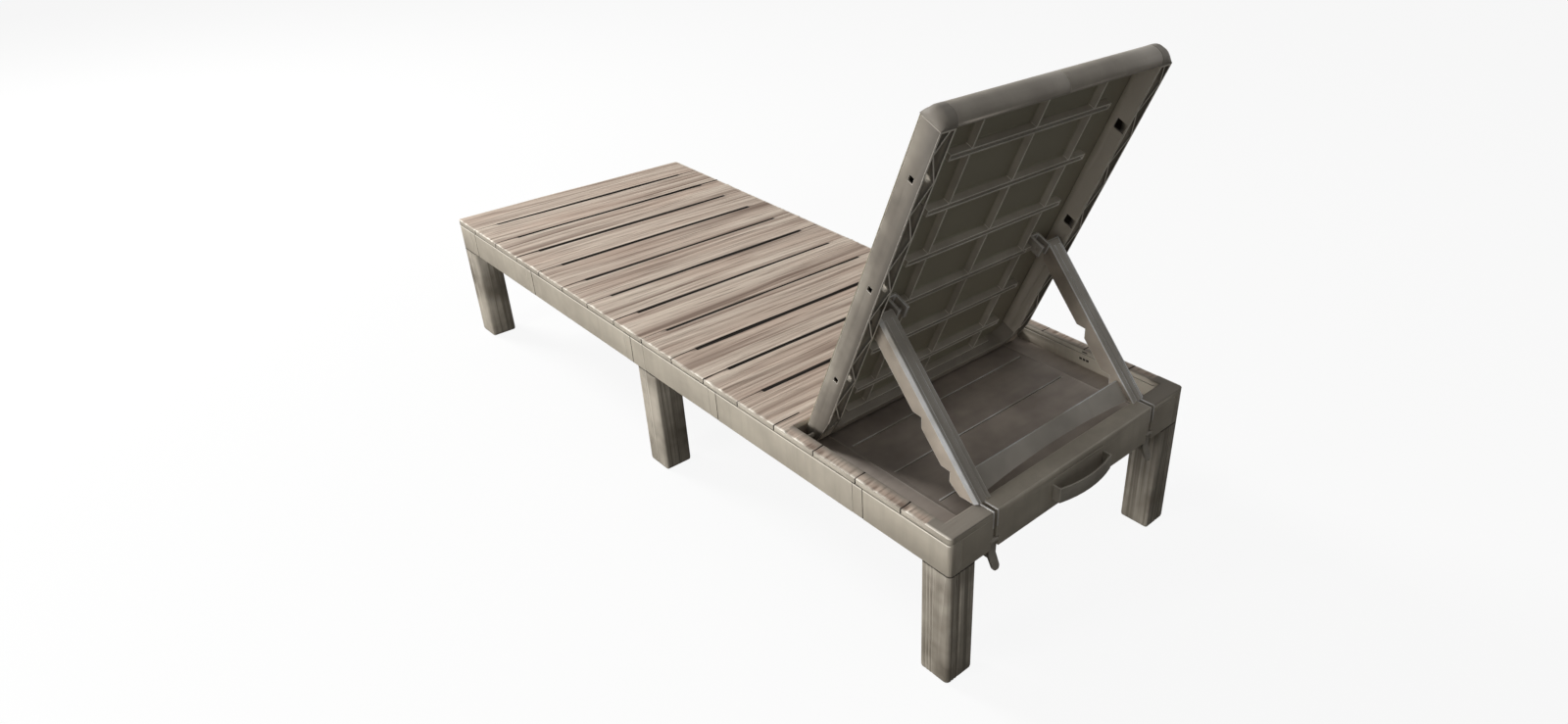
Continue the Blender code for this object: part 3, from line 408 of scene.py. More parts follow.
def makeObject(name, solid):
    # the solid is used up
    mesh = bpy.data.meshes.new(name)
    solid.to_mesh(mesh)
    solid.free()
    piece = bpy.data.objects.new(name, mesh)
    bpy.context.scene.collection.objects.link(piece)
    return piece


def mergedCopy(nodeName, look=mouldingLook):
    solid = bmesh.new()
    solid.from_mesh(frame["nodes"][nodeName].data)
    bmesh.ops.remove_doubles(solid, verts=solid.verts, dist=look["merge"])
    bmesh.ops.dissolve_limit(solid, angle_limit=math.radians(look["flat"]), verts=solid.verts,
                             edges=solid.edges)
    low, high = [math.radians(angle) for angle in look["facets"]]
    coarse = [edge for edge in solid.edges if len(edge.link_faces) == 2
              and low < edge.calc_face_angle(0) < high]
    if coarse and any(word in nodeName for word in look["finer"]):
        bmesh.ops.bevel(solid, geom=coarse, offset=look["finerShare"], offset_type="PERCENT",
                        affect="EDGES", segments=look["segments"], profile=0.5, material=-1,
                        clamp_overlap=False)
    return solid


def edgeRoom(edge):
    # how far the next edge or corner is, across the faces beside this edge
    start = edge.verts[0].co
    line = (edge.verts[1].co - start).normalized()
    room = 1.0
    for face in edge.link_faces:
        for corner in face.verts:
            if corner not in edge.verts:
                away = corner.co - start
                across = (away - line * away.dot(line)).length
                if across > 0.00005:
                    room = min(room, across)
    return room


def finishPiece(name, solid, nodeNames, slotName, rounding, staySharp=None, materialPair=None,
                look=mouldingLook):
    # staySharp: says of an edge's two ends whether that edge keeps its corner
    weight = solid.edges.layers.float.get("bevel_weight_edge") or \
        solid.edges.layers.float.new("bevel_weight_edge")
    for face in solid.faces:
        face.smooth = True
    for edge in solid.edges:
        bend = edge.calc_face_angle(0) if len(edge.link_faces) == 2 else 0
        if bend < math.radians(look["edge"]):
            continue
        share = min(1.0, look["roomShare"] * edgeRoom(edge) / rounding)
        if share * rounding < look["leastRound"] \
                or (staySharp and all(staySharp(v.co) for v in edge.verts)):
            edge.smooth = False
        else:
            edge[weight] = share
    piece = makeObject(name, solid)
    for material in materialPair or materials[slotName]:
        piece.data.materials.append(material)
    bevel = piece.modifiers.new("roundedEdges", "BEVEL")
    bevel.limit_method = "WEIGHT"
    bevel.width = rounding
    bevel.segments = look["segments"]
    bevel.use_clamp_overlap = False
    bevel.harden_normals = True
    # the rounded edges take the second material, mostly a lighter edge tone as painted highlight
    bevel.material = 1
    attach(piece, frame["nodes"][nodeNames[0]]["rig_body"])
    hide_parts(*nodeNames)
    return piece


# grained skins over the slatted panels, given in the panel's own plane: x across the
# lounger, y up the panel, z out of its face
grainSheets = {
    "rowStep": 0.0018, "columnStep": 0.020, "edgeRows": (0.0, 0.0004, 0.0010, 0.0019),
    "leastGap": 0.00015, "cornerColumns": (1.0, 1.0135),
    "edgeRound": 0.0020, "relief": 0.0021, "reliefTop": 0.55, "fineRelief": 0.0009,
    "fineTop": 0.5, "endDeeper": 1.3, "endReach": 0.006, "bandDrop": 0.0009,
    # the seams' dark reach and share, and the darkening beside the slots, are painted shade
    "seamWidth": 0.0014, "seamDepth": 0.0020, "seamReach": 0.0012, "seamDark": 0.0011,
    "seamShade": 0.9, "seamEarly": 0.0005, "notch": 0.0012, "notchReach": 0.0003,
    # the rim share and reach below give a painted highlight along the outer edges
    "slotWidest": 0.01, "grooveShade": 1.35, "grooveShadeReach": 0.0020, "rim": 1.6, "rimHighlightReach": 0.0027,
    "streakShares": (0.5, 0.8, 0.25), "leastThick": 0.0001,
}
# each noise: how fast it changes along and across, its seed's share and its own layer
grainNoise = {
    "bends": ((2.4, 6.0, 1.0, 0, 0.012), (9.0, 20.0, 1.0, 0, 0.0015)),
    "broad": (2.0, 96.0, 3.1, 0), "wide": (1.3, 43.0, 1.7, 40), "fine": (4.0, 270.0, 1.0, 80),
    "shares": (0.75, 0.5), "seedSteps": (7.31, 13.0),
}
deckLow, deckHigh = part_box("foot_deck_panel")
headLow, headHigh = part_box("head_deck_panel")
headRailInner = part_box("head_end_rail")[0].y
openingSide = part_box("head_side_rail_right")[0].x
halfWidth, deckTop = deckHigh.x, deckHigh.z
foldLine, plankPitch = deckLayout["foldLine"], deckLayout["plankPitch"]
openingFront, slitOuter = deckLayout["openingFront"], deckLayout["slitOuter"]
slotEnd, slotWidth = deckLayout["slotEnd"], deckLayout["slotWidth"]
cornerRadius = deckLayout["cornerRadius"]
hinge, recline = Vector(backLayout["hinge"]), math.radians(backLayout["recline"])
backAlong = Vector((0, math.cos(recline), math.sin(recline)))
backNormal = Vector((0, -math.sin(recline), math.cos(recline)))


def upBack(at):
    # how far up the backrest a point lies, from its hinge
    return (at - hinge).dot(backAlong)


def gridLines(low, high, step, breaks, look=grainSheets):
    marks = {round(low, 5), round(high, 5)}
    for at in [low, high] + breaks:
        for away in look["edgeRows"]:
            marks.update((round(at - away, 5), round(at + away, 5)))
    marks = sorted(m for m in marks if low - 1e-6 <= m <= high + 1e-6)
    lines = [marks[0]]
    for mark in marks[1:]:
        first, gap = lines[-1], mark - lines[-1]
        if gap < look["leastGap"]:
            continue
        extra = int(gap / step)
        lines += [first + gap * (n + 1) / (extra + 1) for n in range(extra)] + [mark]
    return lines


def noiseAt(x, y, seed, along, across, seedShare, layer):
    return noise.noise(Vector((x * along + seed * seedShare, y * across, seed + layer)))


def streakAt(x, y, seed, look=grainNoise):
    # broad and fine parts of the moulded grain, each about -1 to 1
    bend = sum(noiseAt(x, y, seed, *row) * size for *row, size in look["bends"])
    broad, wide, fine = [noiseAt(x, y + bend, seed, *look[part])
                         for part in ("broad", "wide", "fine")]
    return look["shares"][0] * broad + look["shares"][1] * wide, fine


def insideBox(x, y, box):
    return box[0] < x < box[1] and box[2] < y < box[3]


def gapTo(x, y, box):
    return math.hypot(max(box[0] - x, 0, x - box[1]), max(box[2] - y, 0, y - box[3]))


def inCorner(x, y, cx, cy, outer):
    # beyond a rounded corner's centre both ways
    return (x - cx) * cx > 0 and (y - cy) * (cy - (outer[2] + outer[3]) / 2) > 0


def grainedSheet(name, outer, voids, seams, corners, depth, place, material, body,
                 smoothZone=None, look=grainSheets):
    # outer and voids: x low, x high, y low, y high; seams: y and the x where each one starts
    columns = gridLines(outer[0], outer[1], look["columnStep"],
                        [v for box in voids for v in box[:2]]
                        + [cx * share for cx, cy in corners for share in look["cornerColumns"]])
    rows = gridLines(outer[2], outer[3], look["rowStep"],
                     [v for box in voids for v in box[2:]] + [cy for cx, cy in corners]
                     + [y + look["seamWidth"] / 2 for y, start in seams])
    sheet = bmesh.new()
    streakLayer, plankLayer, grooveShadeLayer, rimHighlightLayer, plainShadedLayer = [
        sheet.verts.layers.float.new(layer) for layer in ("streak", "plank", "grooveShade", "rim", "plain")]
    bmesh.ops.create_grid(sheet, x_segments=len(columns) - 1, y_segments=len(rows) - 1, size=0.5)
    assert len(sheet.verts) == len(columns) * len(rows)
    for vert in sheet.verts:
        vert.co = (columns[round((vert.co.x + 0.5) * (len(columns) - 1))],
                   rows[round((vert.co.y + 0.5) * (len(rows) - 1))], 0)
    holes = []
    for face in sheet.faces:
        middle = face.calc_center_median()
        if any(insideBox(middle.x, middle.y, box) for box in voids):
            holes.append(face)
    bmesh.ops.delete(sheet, geom=holes, context="FACES")
    made = bmesh.ops.extrude_face_region(sheet, geom=list(sheet.faces), use_keep_orig=True)
    topVerts = only(bmesh.types.BMVert, made["geom"])
    starts = sorted(y for y, start in seams)
    slots = [box for box in voids if box[3] - box[2] < look["slotWidest"]]
    rounding, (perPlank, perSheet) = look["edgeRound"], grainNoise["seedSteps"]
    for vert in sheet.verts:
        # the outline: rounded corners, notches at the seams, and painted shade beside the slots
        x, y = vert.co.x, vert.co.y
        for cx, cy in corners:
            if inCorner(x, y, cx, cy, outer):
                away = Vector((x - cx, y - cy))
                if away.length > cornerRadius:
                    away *= cornerRadius / away.length
                    x, y = cx + away.x, cy + away.y
        for seamY, start in seams:
            across = abs(y - seamY - look["seamWidth"] / 2)
            if across < look["notchReach"] and abs(x) > outer[1] - look["notch"]:
                x -= math.copysign(look["notch"], x)
        besideSlot = min([gapTo(x, y, box) for box in slots] + [1.0])
        vert[grooveShadeLayer] = min(max(look["grooveShade"] - besideSlot / look["grooveShadeReach"], 0.0), 1.0)
        vert.co = (x, y, -depth)
    for vert in topVerts:
        # the relief: grain, rounded edges and seams
        x, y = vert.co.x, vert.co.y
        plank = sum(1 for start in starts if y > start + look["seamWidth"] / 2)
        seed = plank * perPlank + outer[2] * perSheet
        near = min([x - outer[0], outer[1] - x, y - outer[2], outer[3] - y]
                   + [gapTo(x, y, box) for box in voids])
        for cx, cy in corners:
            if inCorner(x, y, cx, cy, outer):
                near = min(near, cornerRadius - math.hypot(x - cx, y - cy))
        near = max(near, 0.0)
        broad, fine = streakAt(x, y, seed)
        share, drop = 1.0, 0.0
        if smoothZone:
            share = smoothZone(x, y)
            drop = look["bandDrop"] * (1 - share)
        deeper = 1 + look["endDeeper"] * math.exp((abs(x) - outer[1]) / look["endReach"])
        height = share * (look["relief"] * deeper * (broad - look["reliefTop"])
                          + look["fineRelief"] * (fine - look["fineTop"]))
        height = min(height, 0.0)
        if near < rounding:
            drop += rounding - math.sqrt(max(rounding ** 2 - (rounding - near) ** 2, 0))
        for seamY, start in seams:
            across = abs(y - seamY - look["seamWidth"] / 2)
            if abs(x) < start - look["seamEarly"]:
                continue
            if across < look["seamReach"]:
                drop += look["seamDepth"] * (1 - across / look["seamReach"])
            # painted shade in the seam grooves
            if across < look["seamDark"]:
                vert[grooveShadeLayer] = max(vert[grooveShadeLayer], look["seamShade"])
        # a painted highlight along the outer edges
        edge = min(outer[1] - abs(x), y - deckLow.y)
        vert[rimHighlightLayer] = min(max(look["rim"] - edge / look["rimHighlightReach"], 0.0), 1.0)
        vert.co.z = max(height - drop, look["leastThick"] - depth)
        plain, broadShare, fineShare = look["streakShares"]
        vert[streakLayer] = plain + (broadShare * broad + fineShare * fine) * share
        vert[plankLayer] = plank
        # where the grain fades the plain, darker tone follows, partly painted shade
        vert[plainShadedLayer] = 1 - share
    for face in sheet.faces:
        face.smooth = True
    bmesh.ops.recalc_face_normals(sheet, faces=sheet.faces)
    sheet.transform(place)
    piece = makeObject(name, sheet)
    piece.data.materials.append(material)
    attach(piece, body)
    print(name, len(piece.data.polygons), "faces")
    return piece


def cutAway(solid, point, normal):
    # takes off what lies beyond a plane and closes the cut: its rim and its new faces
    cut = bmesh.ops.bisect_plane(solid, geom=list(solid.verts) + list(solid.edges)
                                 + list(solid.faces), plane_co=point, plane_no=normal,
                                 clear_outer=True, dist=0.00001)
    rim = only(bmesh.types.BMEdge, cut["geom_cut"])
    made = bmesh.ops.triangle_fill(solid, edges=rim, use_beauty=True)
    bmesh.ops.recalc_face_normals(solid, faces=solid.faces)
    return rim, only(bmesh.types.BMFace, made["geom"])


def trimmedCopy(nodeName, planePoint, planeNormal):
    # the moulding below its grained skin
    solid = mergedCopy(nodeName)
    cutAway(solid, planePoint, planeNormal)
    return solid


# walls in the slots, and the seams' notches in the sides, take a painted shade: how near a
# slot, the notches' reach in, down and to each side, and the slots' depth
shadowLook = {"near": 0.0002, "notchIn": (0.0018, 0.0002), "notchDown": 0.0119,
              "notchHalf": 0.004, "backDepth": 0.007, "steep": 0.5}


# painted shade: the faces that the test picks take the dark joint material
def darkenFaces(piece, isDark):
    piece.data.materials.append(jointsAndShade)
    for face in piece.data.polygons:
        if isDark(face.center, face.normal):
            face.material_index = len(piece.data.materials) - 1


def deckShadow(at, normal, look=shadowLook):
    far, near = look["notchIn"]
    inSlot = any(gapTo(at.x, at.y, box) < look["near"] for box in deckSlots)
    inNotch = (halfWidth - far < abs(at.x) < halfWidth - near
               and at.z > deckTop - look["notchDown"]
               and any(abs(at.y - seamY) < look["notchHalf"] for seamY in deckNotches))
    return abs(normal.z) < look["steep"] and (inSlot or inNotch)


def backShadow(at, normal, look=shadowLook):
    shallow = (at - hinge).dot(backNormal) > backLayout["face"] - look["backDepth"]
    return shallow and abs(normal.dot(backNormal)) < look["steep"] and \
        any(gapTo(at.x, upBack(at), box) < look["near"] for box in backSlots)


# grain fades beside the tray and over the head corners into a plain tone, darker as painted shade:
# where it starts, and over how far
headFade = {"beside": (0.0065, 0.0012), "over": (0.745, 0.0015)}


def headZone(x, y, look=headFade):
    if y < openingFront:
        return 1.0
    (away, overAway), (end, overEnd) = look["beside"], look["over"]
    beside = min(max((abs(x) - openingSide - away) / overAway, 0.0), 1.0)
    over = min(max((end - y) / overEnd, 0.0), 1.0)
    return beside * over


skinDepth, backSkin = deckLayout["skin"], backLayout["skin"]
deckPlace = Matrix.Translation((0, 0, deckTop))
seamNumbers = range(1, deckLayout["seamsEachWay"] + 1)
footSeams = [(foldLine - plankPitch * n, slotEnd) for n in reversed(seamNumbers)]
footSlots = [(-end, end, y, y + slotWidth) for y, end in footSeams]
grainedSheet("foot_deck_boards", (-halfWidth, halfWidth, deckLow.y, deckHigh.y), footSlots,
             footSeams, [(side * (halfWidth - cornerRadius), deckLow.y + cornerRadius)
                         for side in (-1, 1)], skinDepth, deckPlace, deckGrain, "base")
headSeams = [(foldLine + plankPitch * n,
              slotEnd if n < deckLayout["firstBesideTray"] else openingSide)
             for n in seamNumbers]
headSlots = [(-slotEnd, slotEnd, y, y + slotWidth) for y, end in headSeams
             if y < openingFront - deckLayout["solidBeforeTray"]]
past = deckLayout["past"]
foldSlot = (-slotEnd, slotEnd, headLow.y - past, foldLine + slotWidth)
headVoids = headSlots + [foldSlot, (-openingSide, openingSide, openingFront, headRailInner),
                         (-slitOuter, slitOuter, headRailInner - 0.0001, headHigh.y + past)]
grainedSheet("head_deck_boards", (-halfWidth, halfWidth, headLow.y, headHigh.y), headVoids,
             headSeams, [(side * (halfWidth - cornerRadius), headHigh.y - cornerRadius)
                         for side in (-1, 1)], skinDepth, deckPlace, deckGrain, "base",
             headZone)
backPlace = Matrix((Vector((1, 0, 0)), backAlong, backNormal)).transposed().to_4x4()
backPlace.translation = hinge + backNormal * backLayout["face"]
backSeams = [(backLayout["seamFirst"] + backLayout["seamPitch"] * number, end)
             for number, end in enumerate(backLayout["slotEnds"])]
backSlots = [(-end, end, y, y + slotWidth) for y, end in backSeams]
grainedSheet("backrest_boards", (-backLayout["half"], backLayout["half"], 0.0,
                                 backLayout["long"]), backSlots, backSeams, [],
             backSkin, backPlace, backGrain, "backrest")
deckSlots = footSlots + headSlots + [foldSlot]
deckNotches = [y for y, start in footSeams + headSeams] + [foldLine]
deckCut = (Vector((0, 0, deckTop - skinDepth)), Vector((0, 0, 1)), "deck")
grained = {"foot_deck_panel": deckCut, "head_deck_panel": deckCut,
           "backrest_panel": (hinge + backNormal * (backLayout["face"] - backSkin), backNormal,
                              "backrest")}
for nodeName, (point, normal, slotName) in grained.items():
    onBackrest = slotName == "backrest"
    piece = finishPiece(nodeName + "_moulding", trimmedCopy(nodeName, point, normal), [nodeName],
                        slotName, edgeRounding[slotName],
                        staySharp=lambda at: abs((at - point).dot(normal)) < 0.0001,
                        materialPair=panelBack if onBackrest else [materials["deck"][0], jointsAndShade])
    darkenFaces(piece, backShadow if onBackrest else deckShadow)
print("slatted panels skinned")

boxInner, boxOuter, capStart = 0.2238, 0.253, 0.650
armShape = {"flatWide": 0.0058, "flatDeep": 0.0036, "outerFace": 0.2185, "innerFace": 0.1845,
            "innerFlat": 0.0018, "rounding": 0.0009, "leastLong": 0.2, "sideways": 0.95}
latchTail = {"round": 0.0065, "halfWide": 0.008, "middle": 0.2035, "reach": 0.0035,
             "thick": 0.006, "segments": 6}


def besideCells(at, wall=0.0026):
    return boxInner + wall < abs(at.x) < boxOuter - wall


def webEdge(solid, side):
    # the long edge where an arm's web meets the side face at this distance out
    for edge in solid.edges:
        flat = [face.normal for face in edge.link_faces if abs(face.normal.x) < 0.1]
        if edge.calc_length() > armShape["leastLong"] and len(flat) == 1 \
                and flat[0].y + flat[0].z > 0.5 \
                and all(abs(abs(v.co.x) - side) < 0.0002 for v in edge.verts):
            return edge, flat[0].copy()


def chamferArm(solid, look=armShape):
    # flats along the two long edges of the web, the outer one broad
    for face in solid.faces:
        if abs(face.normal.x) > look["sideways"]:
            face.material_index = 2
    edge, webNormal = webEdge(solid, look["outerFace"])
    corner = edge.verts[0].co.copy()
    outward = Vector((math.copysign(1, corner.x), 0, 0))
    flatNormal = (webNormal * look["flatWide"] + outward * look["flatDeep"]).normalized()
    rim, flat = cutAway(solid, corner - webNormal * look["flatDeep"], flatNormal)
    for edge in rim:
        edge.smooth = False
    edge, webNormal = webEdge(solid, look["innerFace"])
    made = bmesh.ops.bevel(solid, geom=[edge], offset=look["innerFlat"], affect="EDGES",
                           segments=1, profile=0.5, material=-1, clamp_overlap=True)
    # the flats take the white edge tone, a painted highlight
    for face in flat + made["faces"]:
        face.material_index = 1


def roundTail(solid, look=latchTail):
    # the latch's tail ends in a half round
    lowest = min(v.co.z for v in solid.verts)
    ends = [edge for edge in solid.edges if edge.calc_length() < look["thick"]
            and all(v.co.z < lowest + look["reach"] for v in edge.verts)
            and all(abs(abs(abs(v.co.x) - look["middle"]) - look["halfWide"]) < 0.0003
                    for v in edge.verts)
            and abs(edge.verts[0].co.x - edge.verts[1].co.x) < 0.0002]
    bmesh.ops.bevel(solid, geom=ends, offset=look["round"], affect="EDGES",
                    segments=look["segments"], profile=0.5, material=-1, clamp_overlap=True)


for nodeName in sorted(set(frame["nodes"]) - set(grained)):
    if "top_corner" in nodeName:
        # turned anew below
        continue
    slotName, pair, sharp = slotOfNode[nodeName], None, None
    rounding, solid = edgeRounding[slotName], mergedCopy(nodeName)
    if "prop_arm" in nodeName:
        chamferArm(solid)
        pair, rounding = armFaces, armShape["rounding"]
    if nodeName in ("latch_left", "latch_right"):
        roundTail(solid)
    if "clip" in nodeName:
        pair = [materials["frame"][0], jointsAndShade]
    if "side_box" in nodeName:
        pair, sharp = sideBoxPair, besideCells
    finishPiece(nodeName + "_moulding", solid, [nodeName], slotName, rounding,
                materialPair=pair, staySharp=sharp)
print("mouldings rounded:", len(frame["nodes"]))

# small pieces of trim: how near their points merge, and from which angle edges stay sharp
trimLook = {"merge": 0.00001, "edge": 40}


def pieceFrom(name, solid, body, material, look=trimLook):
    bmesh.ops.remove_doubles(solid, verts=solid.verts, dist=look["merge"])
    bmesh.ops.recalc_face_normals(solid, faces=solid.faces)
    for face in solid.faces:
        face.smooth = True
    for edge in solid.edges:
        if len(edge.link_faces) == 2 and edge.calc_face_angle(0) > math.radians(look["edge"]):
            edge.smooth = False
    piece = makeObject(name, solid)
    piece.data.materials.append(material)
    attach(piece, body)
    return piece


def addBox(solid, middle, size):
    made = bmesh.ops.create_cube(solid, size=1.0)
    bmesh.ops.scale(solid, vec=size, verts=made["verts"])
    bmesh.ops.translate(solid, vec=middle, verts=made["verts"])
    return made["verts"]


def addBar(solid, low, high, rounding=0.0004):
    # a rounded bar between two corners
    low, high = Vector(low), Vector(high)
    verts = addBox(solid, (low + high) / 2, high - low)
    edges = list({edge for vert in verts for edge in vert.link_edges})
    bmesh.ops.bevel(solid, geom=edges, offset=rounding, affect="EDGES", segments=2, profile=0.5,
                    material=-1, clamp_overlap=True)


# raised lips along both slits, over the top and down the head face, and a tab beside each, in the
# pale edge tones as painted highlights
headTrim = {
    "flangeWide": 0.0028, "flangeProud": 0.0004, "flangeStart": 0.0015, "flangeSunk": 0.002,
    "flangeDrop": 0.032, "dropFrom": 0.0014, "inset": 0.0001,
    "tabSize": (0.011, 0.006, 0.0035), "tabMiddle": 0.188, "tabIn": 0.0042,
    "tabSunk": 0.0004, "tabLow": 0.0002, "tabRound": 0.0005,
}


def slitFlanges(look=headTrim):
    proud, wide, inset = look["flangeProud"], look["flangeWide"], look["inset"]
    slitInner = deckLayout["slitInner"]
    for name, side in (("left", -1), ("right", 1)):
        solid = bmesh.new()
        for near, far in ((slitInner - wide, slitInner), (slitOuter, slitOuter + wide)):
            edges = sorted((side * near, side * far))
            addBar(solid, (edges[0], headRailInner + look["flangeStart"],
                           deckTop - look["flangeSunk"]),
                   (edges[1], headHigh.y, deckTop - inset))
            addBar(solid, (edges[0], headHigh.y - look["flangeSunk"],
                           deckTop - look["flangeDrop"]),
                   (edges[1], headHigh.y - inset + proud, deckTop - look["dropFrom"]))
        pieceFrom("slit_flange_" + name, solid, "base", materials["prop"][1])
        tab = bmesh.new()
        high = look["tabSize"][2]
        addBox(tab, (side * look["tabMiddle"], headRailInner + look["tabIn"],
                     deckTop + high / 2 - look["tabSunk"]), look["tabSize"])
        for vert in tab.verts:
            if vert.co.z > deckTop and side * vert.co.x < look["tabMiddle"]:
                vert.co.z = deckTop - look["tabLow"]
        bmesh.ops.bevel(tab, geom=list(tab.edges), offset=look["tabRound"], affect="EDGES",
                        segments=2, profile=0.5, material=-1, clamp_overlap=True)
        pieceFrom("rail_tab_" + name, tab, "base", materials["frame"][1])


slitFlanges()

# rounded ends of the backrest's cap: the cap's own outline turned a quarter about the
# corner, with a rounding that fades out toward the plainer side box below
capEnd = {"round": 0.017, "lead": 0.001, "centre": 0.235, "steps": 12, "turns": 14,
          "depth": 0.041, "fadeTurn": 0.6, "fadePower": 0.8, "fadeFrom": (0.0002, 0.0009),
          "merge": 0.00003, "near": 0.00005}


def onBack(x, along, behind):
    # a place given across, up and behind the backrest's face
    return hinge + Vector((x, 0, 0)) + backAlong * along \
        + backNormal * (backLayout["face"] - behind)


def capEnds(look=capEnd):
    leastAcross, leastRadius = look["fadeFrom"]
    for name, side in (("left", -1), ("right", 1)):
        solid = bmesh.new()
        outline = [(0.0, 0.0)]
        for step in range(look["steps"] + 1):
            turn = math.pi / 2 * step / look["steps"]
            outline.append((look["lead"] + look["round"] * math.sin(turn),
                            look["round"] * (1 - math.cos(turn))))
        outline += [(rise, look["depth"] - behind) for rise, behind in reversed(outline)]
        start = [solid.verts.new(onBack(side * boxInner, capStart + rise, behind))
                 for rise, behind in outline]
        edges = [solid.edges.new(pair) for pair in zip(start, start[1:])]
        made = bmesh.ops.extrude_edge_only(solid, edges=edges)
        moved = only(bmesh.types.BMVert, made["geom"])
        edges = [edge for edge in only(bmesh.types.BMEdge, made["geom"])
                 if all(v in moved for v in edge.verts)]
        bmesh.ops.translate(solid, vec=(side * (look["centre"] - boxInner), 0, 0), verts=moved)
        centre = onBack(side * look["centre"], capStart, 0)
        bmesh.ops.spin(solid, geom=moved + edges, cent=centre, axis=backNormal,
                       angle=-side * math.pi / 2, steps=look["turns"])
        for vert in solid.verts:
            across = side * vert.co.x - look["centre"]
            rise = upBack(vert.co) - capStart
            radius = math.hypot(across, rise)
            if across > leastAcross and radius > leastRadius:
                turn = math.atan2(max(rise, 0.0), across) / (math.pi / 2)
                keep = min(turn / look["fadeTurn"], 1.0) ** look["fadePower"]
                wanted = look["round"] + look["lead"]
                grow = (radius * keep + wanted * (1 - keep)) / radius
                away = Vector((side * across, 0, 0)) + backAlong * rise
                vert.co += away * (grow - 1)
        bmesh.ops.remove_doubles(solid, verts=solid.verts, dist=look["merge"])
        low = [v for v in solid.verts if abs(side * v.co.x - boxInner) < look["near"]
               and abs(upBack(v.co) - capStart) < look["near"]]
        solid.edges.new(low[:2])
        openEdges = [edge for edge in solid.edges if len(edge.link_faces) < 2]
        bmesh.ops.edgenet_fill(solid, edges=openEdges)
        # the cap's ends take a darker tone, painted shade
        piece = pieceFrom("backrest_top_corner_" + name + "_moulding", solid, "backrest",
                          shades["capCornerShade"])
        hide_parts("backrest_top_corner_" + name)


capEnds()

# fillets low in the backrest's side bands
bandFillet = {"radius": 0.022, "foot": 0.0125, "behind": (0.0032, 0.036), "turns": 10}


def bandFillets(look=bandFillet):
    radius, foot, (front, back) = look["radius"], look["foot"], look["behind"]
    for name, side in (("left", -1), ("right", 1)):
        solid = bmesh.new()
        first = solid.verts.new(onBack(side * (boxInner - radius), foot, front))
        centre = onBack(side * (boxInner - radius), foot + radius, front)
        made = bmesh.ops.spin(solid, geom=[first], cent=centre, axis=backNormal,
                              angle=side * math.pi / 2, steps=look["turns"])
        corner = solid.verts.new(onBack(side * boxInner, foot, front))
        last = only(bmesh.types.BMVert, made["geom_last"])[0]
        solid.edges.new((last, corner))
        solid.edges.new((corner, first))
        face = bmesh.ops.contextual_create(solid, geom=list(solid.edges))["faces"]
        grown = bmesh.ops.extrude_face_region(solid, geom=face, use_keep_orig=True)
        bmesh.ops.translate(solid, vec=backNormal * (front - back),
                            verts=only(bmesh.types.BMVert, grown["geom"]))
        pieceFrom("band_fillet_" + name, solid, "backrest",
                  materials["backrest"][0])


bandFillets()

# pale strips along the tray's slots, painted highlights on their edges
trayTrim = {"stripWide": 0.0026, "stripProud": 0.00015, "stripDeep": 0.001, "below": 0.0015,
            "rounding": 0.0001, "halfLong": 0.2150, "slots": (5, 6, 7)}


def traySlotHighlights(look=trayTrim):
    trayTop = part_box("tray_floor")[1].z - look["below"]
    solid = bmesh.new()
    for number in look["slots"]:
        edge = foldLine + plankPitch * number
        addBar(solid, (-look["halfLong"], edge - look["stripWide"], trayTop - look["stripDeep"]),
               (look["halfLong"], edge, trayTop + look["stripProud"]), look["rounding"])
    pieceFrom("tray_slot_highlights", solid, "base", shades["traySlotHighlight"])


# a catch pocket in each side rail: two dark rows as painted shade in the pocket, behind four teeth
# in the pale edge tone as painted highlights
catchPocket = {
    "face": 0.2770, "middle": 0.5950, "long": 0.024, "rows": ((0.2700, 0.2745), (0.2865, 0.2890)),
    "deep": 0.0003, "rounding": 0.0001, "teeth": (-1, -1 / 3, 1 / 3, 1), "toothHalf": 0.0006,
    "toothDeep": 0.0008, "toothOver": 0.001, "toothRound": 0.0002,
}


def catchPockets(look=catchPocket):
    face, middle, (low, high) = look["face"], look["middle"], look["rows"][0]
    for name, side in (("left", -1), ("right", 1)):
        dark, paleHighlight = bmesh.new(), bmesh.new()
        reach = sorted((side * face, side * (face - look["deep"])))
        for row, (bottom, top) in enumerate(look["rows"]):
            half = look["long"] / (2 + 2 * row)
            addBar(dark, (reach[0], middle - half, bottom), (reach[1], middle + half, top),
                   look["rounding"])
        reach = sorted((side * face, side * (face - look["toothDeep"])))
        for share in look["teeth"]:
            at = middle + look["long"] / 2 * share
            addBar(paleHighlight, (reach[0], at - look["toothHalf"], low - look["toothOver"]),
                   (reach[1], at + look["toothHalf"], high + look["toothOver"]),
                   look["toothRound"])
        # the dark rows: painted shade
        pieceFrom("catch_pocket_shade_" + name, dark, "base", jointsAndShade)
        pieceFrom("catch_teeth_" + name, paleHighlight, "base", materials["frame"][1])


traySlotHighlights()
catchPockets()
print("head trim made")

# a plain pale floor, white surroundings, and broad soft lamps: one from the foot end, two
# low ones at the right side, and two faint ones overhead and behind the head end
studio = {
    "floorSize": 16.0, "floorColour": tone(240, 240, 238), "floorBounce": tone(132, 130, 126),
    "floorGlow": 0.91, "worldColour": (0.96, 0.98, 1.0, 1), "worldLight": 0.15,
    "whiteTo": ("Is Camera Ray", "Is Transmission Ray", "Is Glossy Ray"),
}
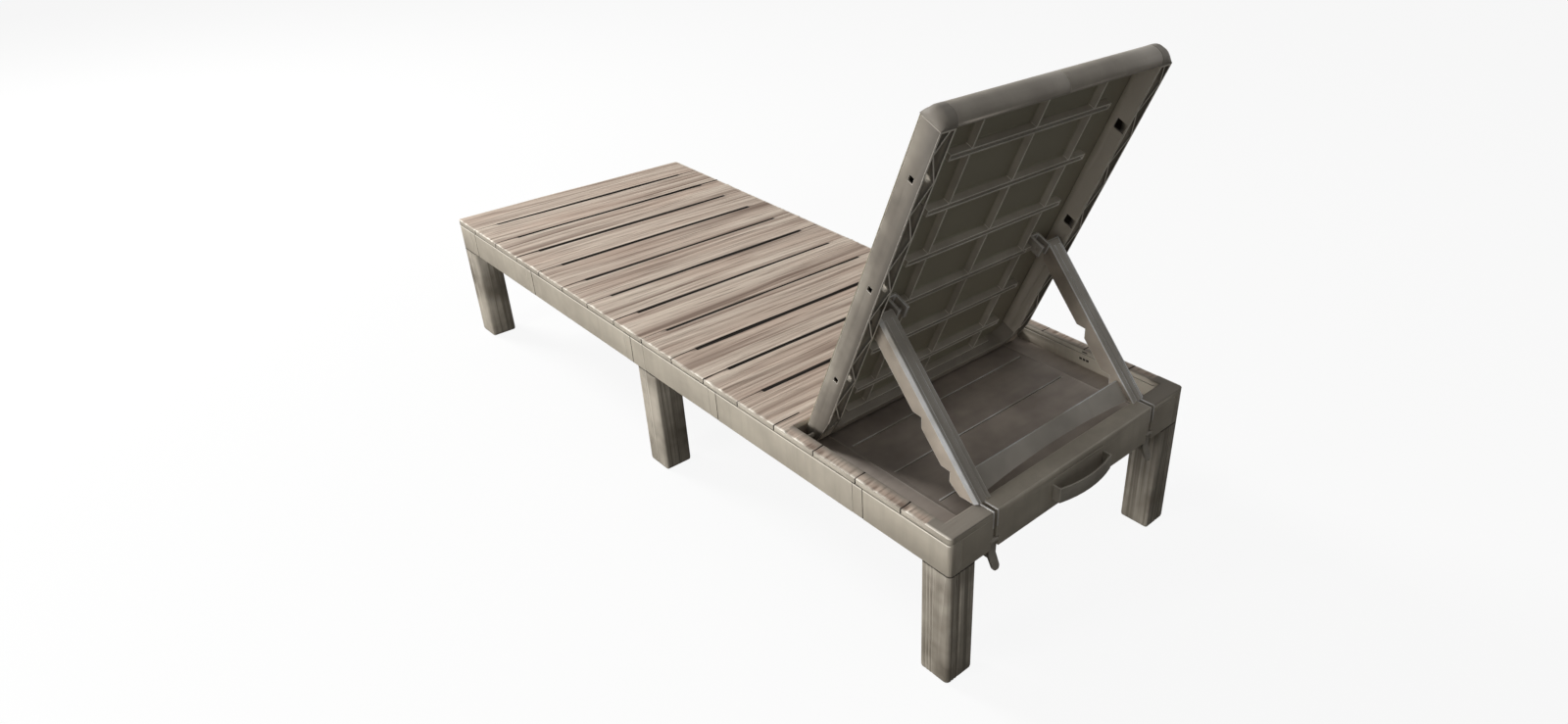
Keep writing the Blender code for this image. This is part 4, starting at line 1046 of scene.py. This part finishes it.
# each lamp's place, aim, size and power
lamps = {
    "keyLamp": ((1.2, -3.6, 2.8), (0, -0.1, 0.3), 1.2, 168.0),
    "fillLamp": ((2.4, 3.0, 0.9), (0, 0.4, 0.3), 1.8, 2.5),
    "sideLamp": ((4.0, -0.3, 0.95), (0, 0.1, 0.3), 1.1, 86.0),
    "headLamp": ((2.5, 0.66, 0.5), (0, 0.7, 0.35), 0.5, 5.0),
    "topLamp": ((-0.5, 1.3, 2.7), (0, 0.6, 0.3), 1.4, 5.0),
}
white = (1, 1, 1, 1)


def makeFloor(look):
    sheet = bmesh.new()
    bmesh.ops.create_grid(sheet, x_segments=2, y_segments=2, size=look["floorSize"] / 2)
    floor = makeObject("studioFloor", sheet)
    paper = Finish("paperFloor")
    seen = paper.add("ShaderNodeLightPath", output="Is Camera Ray")
    lit = paper.add("ShaderNodeBsdfDiffuse", sockets={
        "Color": paper.blend(look["floorBounce"], look["floorColour"], seen)})
    glow = paper.add("ShaderNodeEmission", sockets={"Color": white, "Strength": 1.0})
    both = paper.add("ShaderNodeMixShader", sockets={
        0: seen * look["floorGlow"], 1: lit, 2: glow})
    paper.add("ShaderNodeOutputMaterial", sockets={"Surface": both})
    floor.data.materials.append(paper.material)


def makeWorld(look):
    # soft light on the object, plain white where it is seen, mirrored or looked through
    world = bpy.data.worlds.new("studioWorld")
    world.use_nodes = True
    bpy.context.scene.world = world
    sky = Nodes(world.node_tree)
    camera, through, mirrored = [sky.add("ShaderNodeLightPath", output=ray)
                                 for ray in look["whiteTo"]]
    soft = sky.add("ShaderNodeBackground", sockets={
        "Color": look["worldColour"], "Strength": look["worldLight"]})
    plain = sky.add("ShaderNodeBackground", sockets={"Color": white, "Strength": 1.0})
    mix = sky.add("ShaderNodeMixShader", sockets={
        0: camera.orMore(through).orMore(mirrored), 1: soft, 2: plain})
    sky.add("ShaderNodeOutputWorld", sockets={"Surface": mix})


def areaLamp(name, place, aim, size, power):
    data = bpy.data.lights.new(name, "AREA")
    data.shape, data.size, data.energy = "SQUARE", size, power
    lamp = bpy.data.objects.new(name, data)
    bpy.context.scene.collection.objects.link(lamp)
    lamp.location = place
    lamp.rotation_euler = (Vector(aim) - Vector(place)).to_track_quat("-Z", "Y").to_euler()


makeFloor(studio)
makeWorld(studio)
for name, row in lamps.items():
    areaLamp(name, *row)
bpy.context.scene.view_settings.view_transform = "Standard"
print("studio lit")
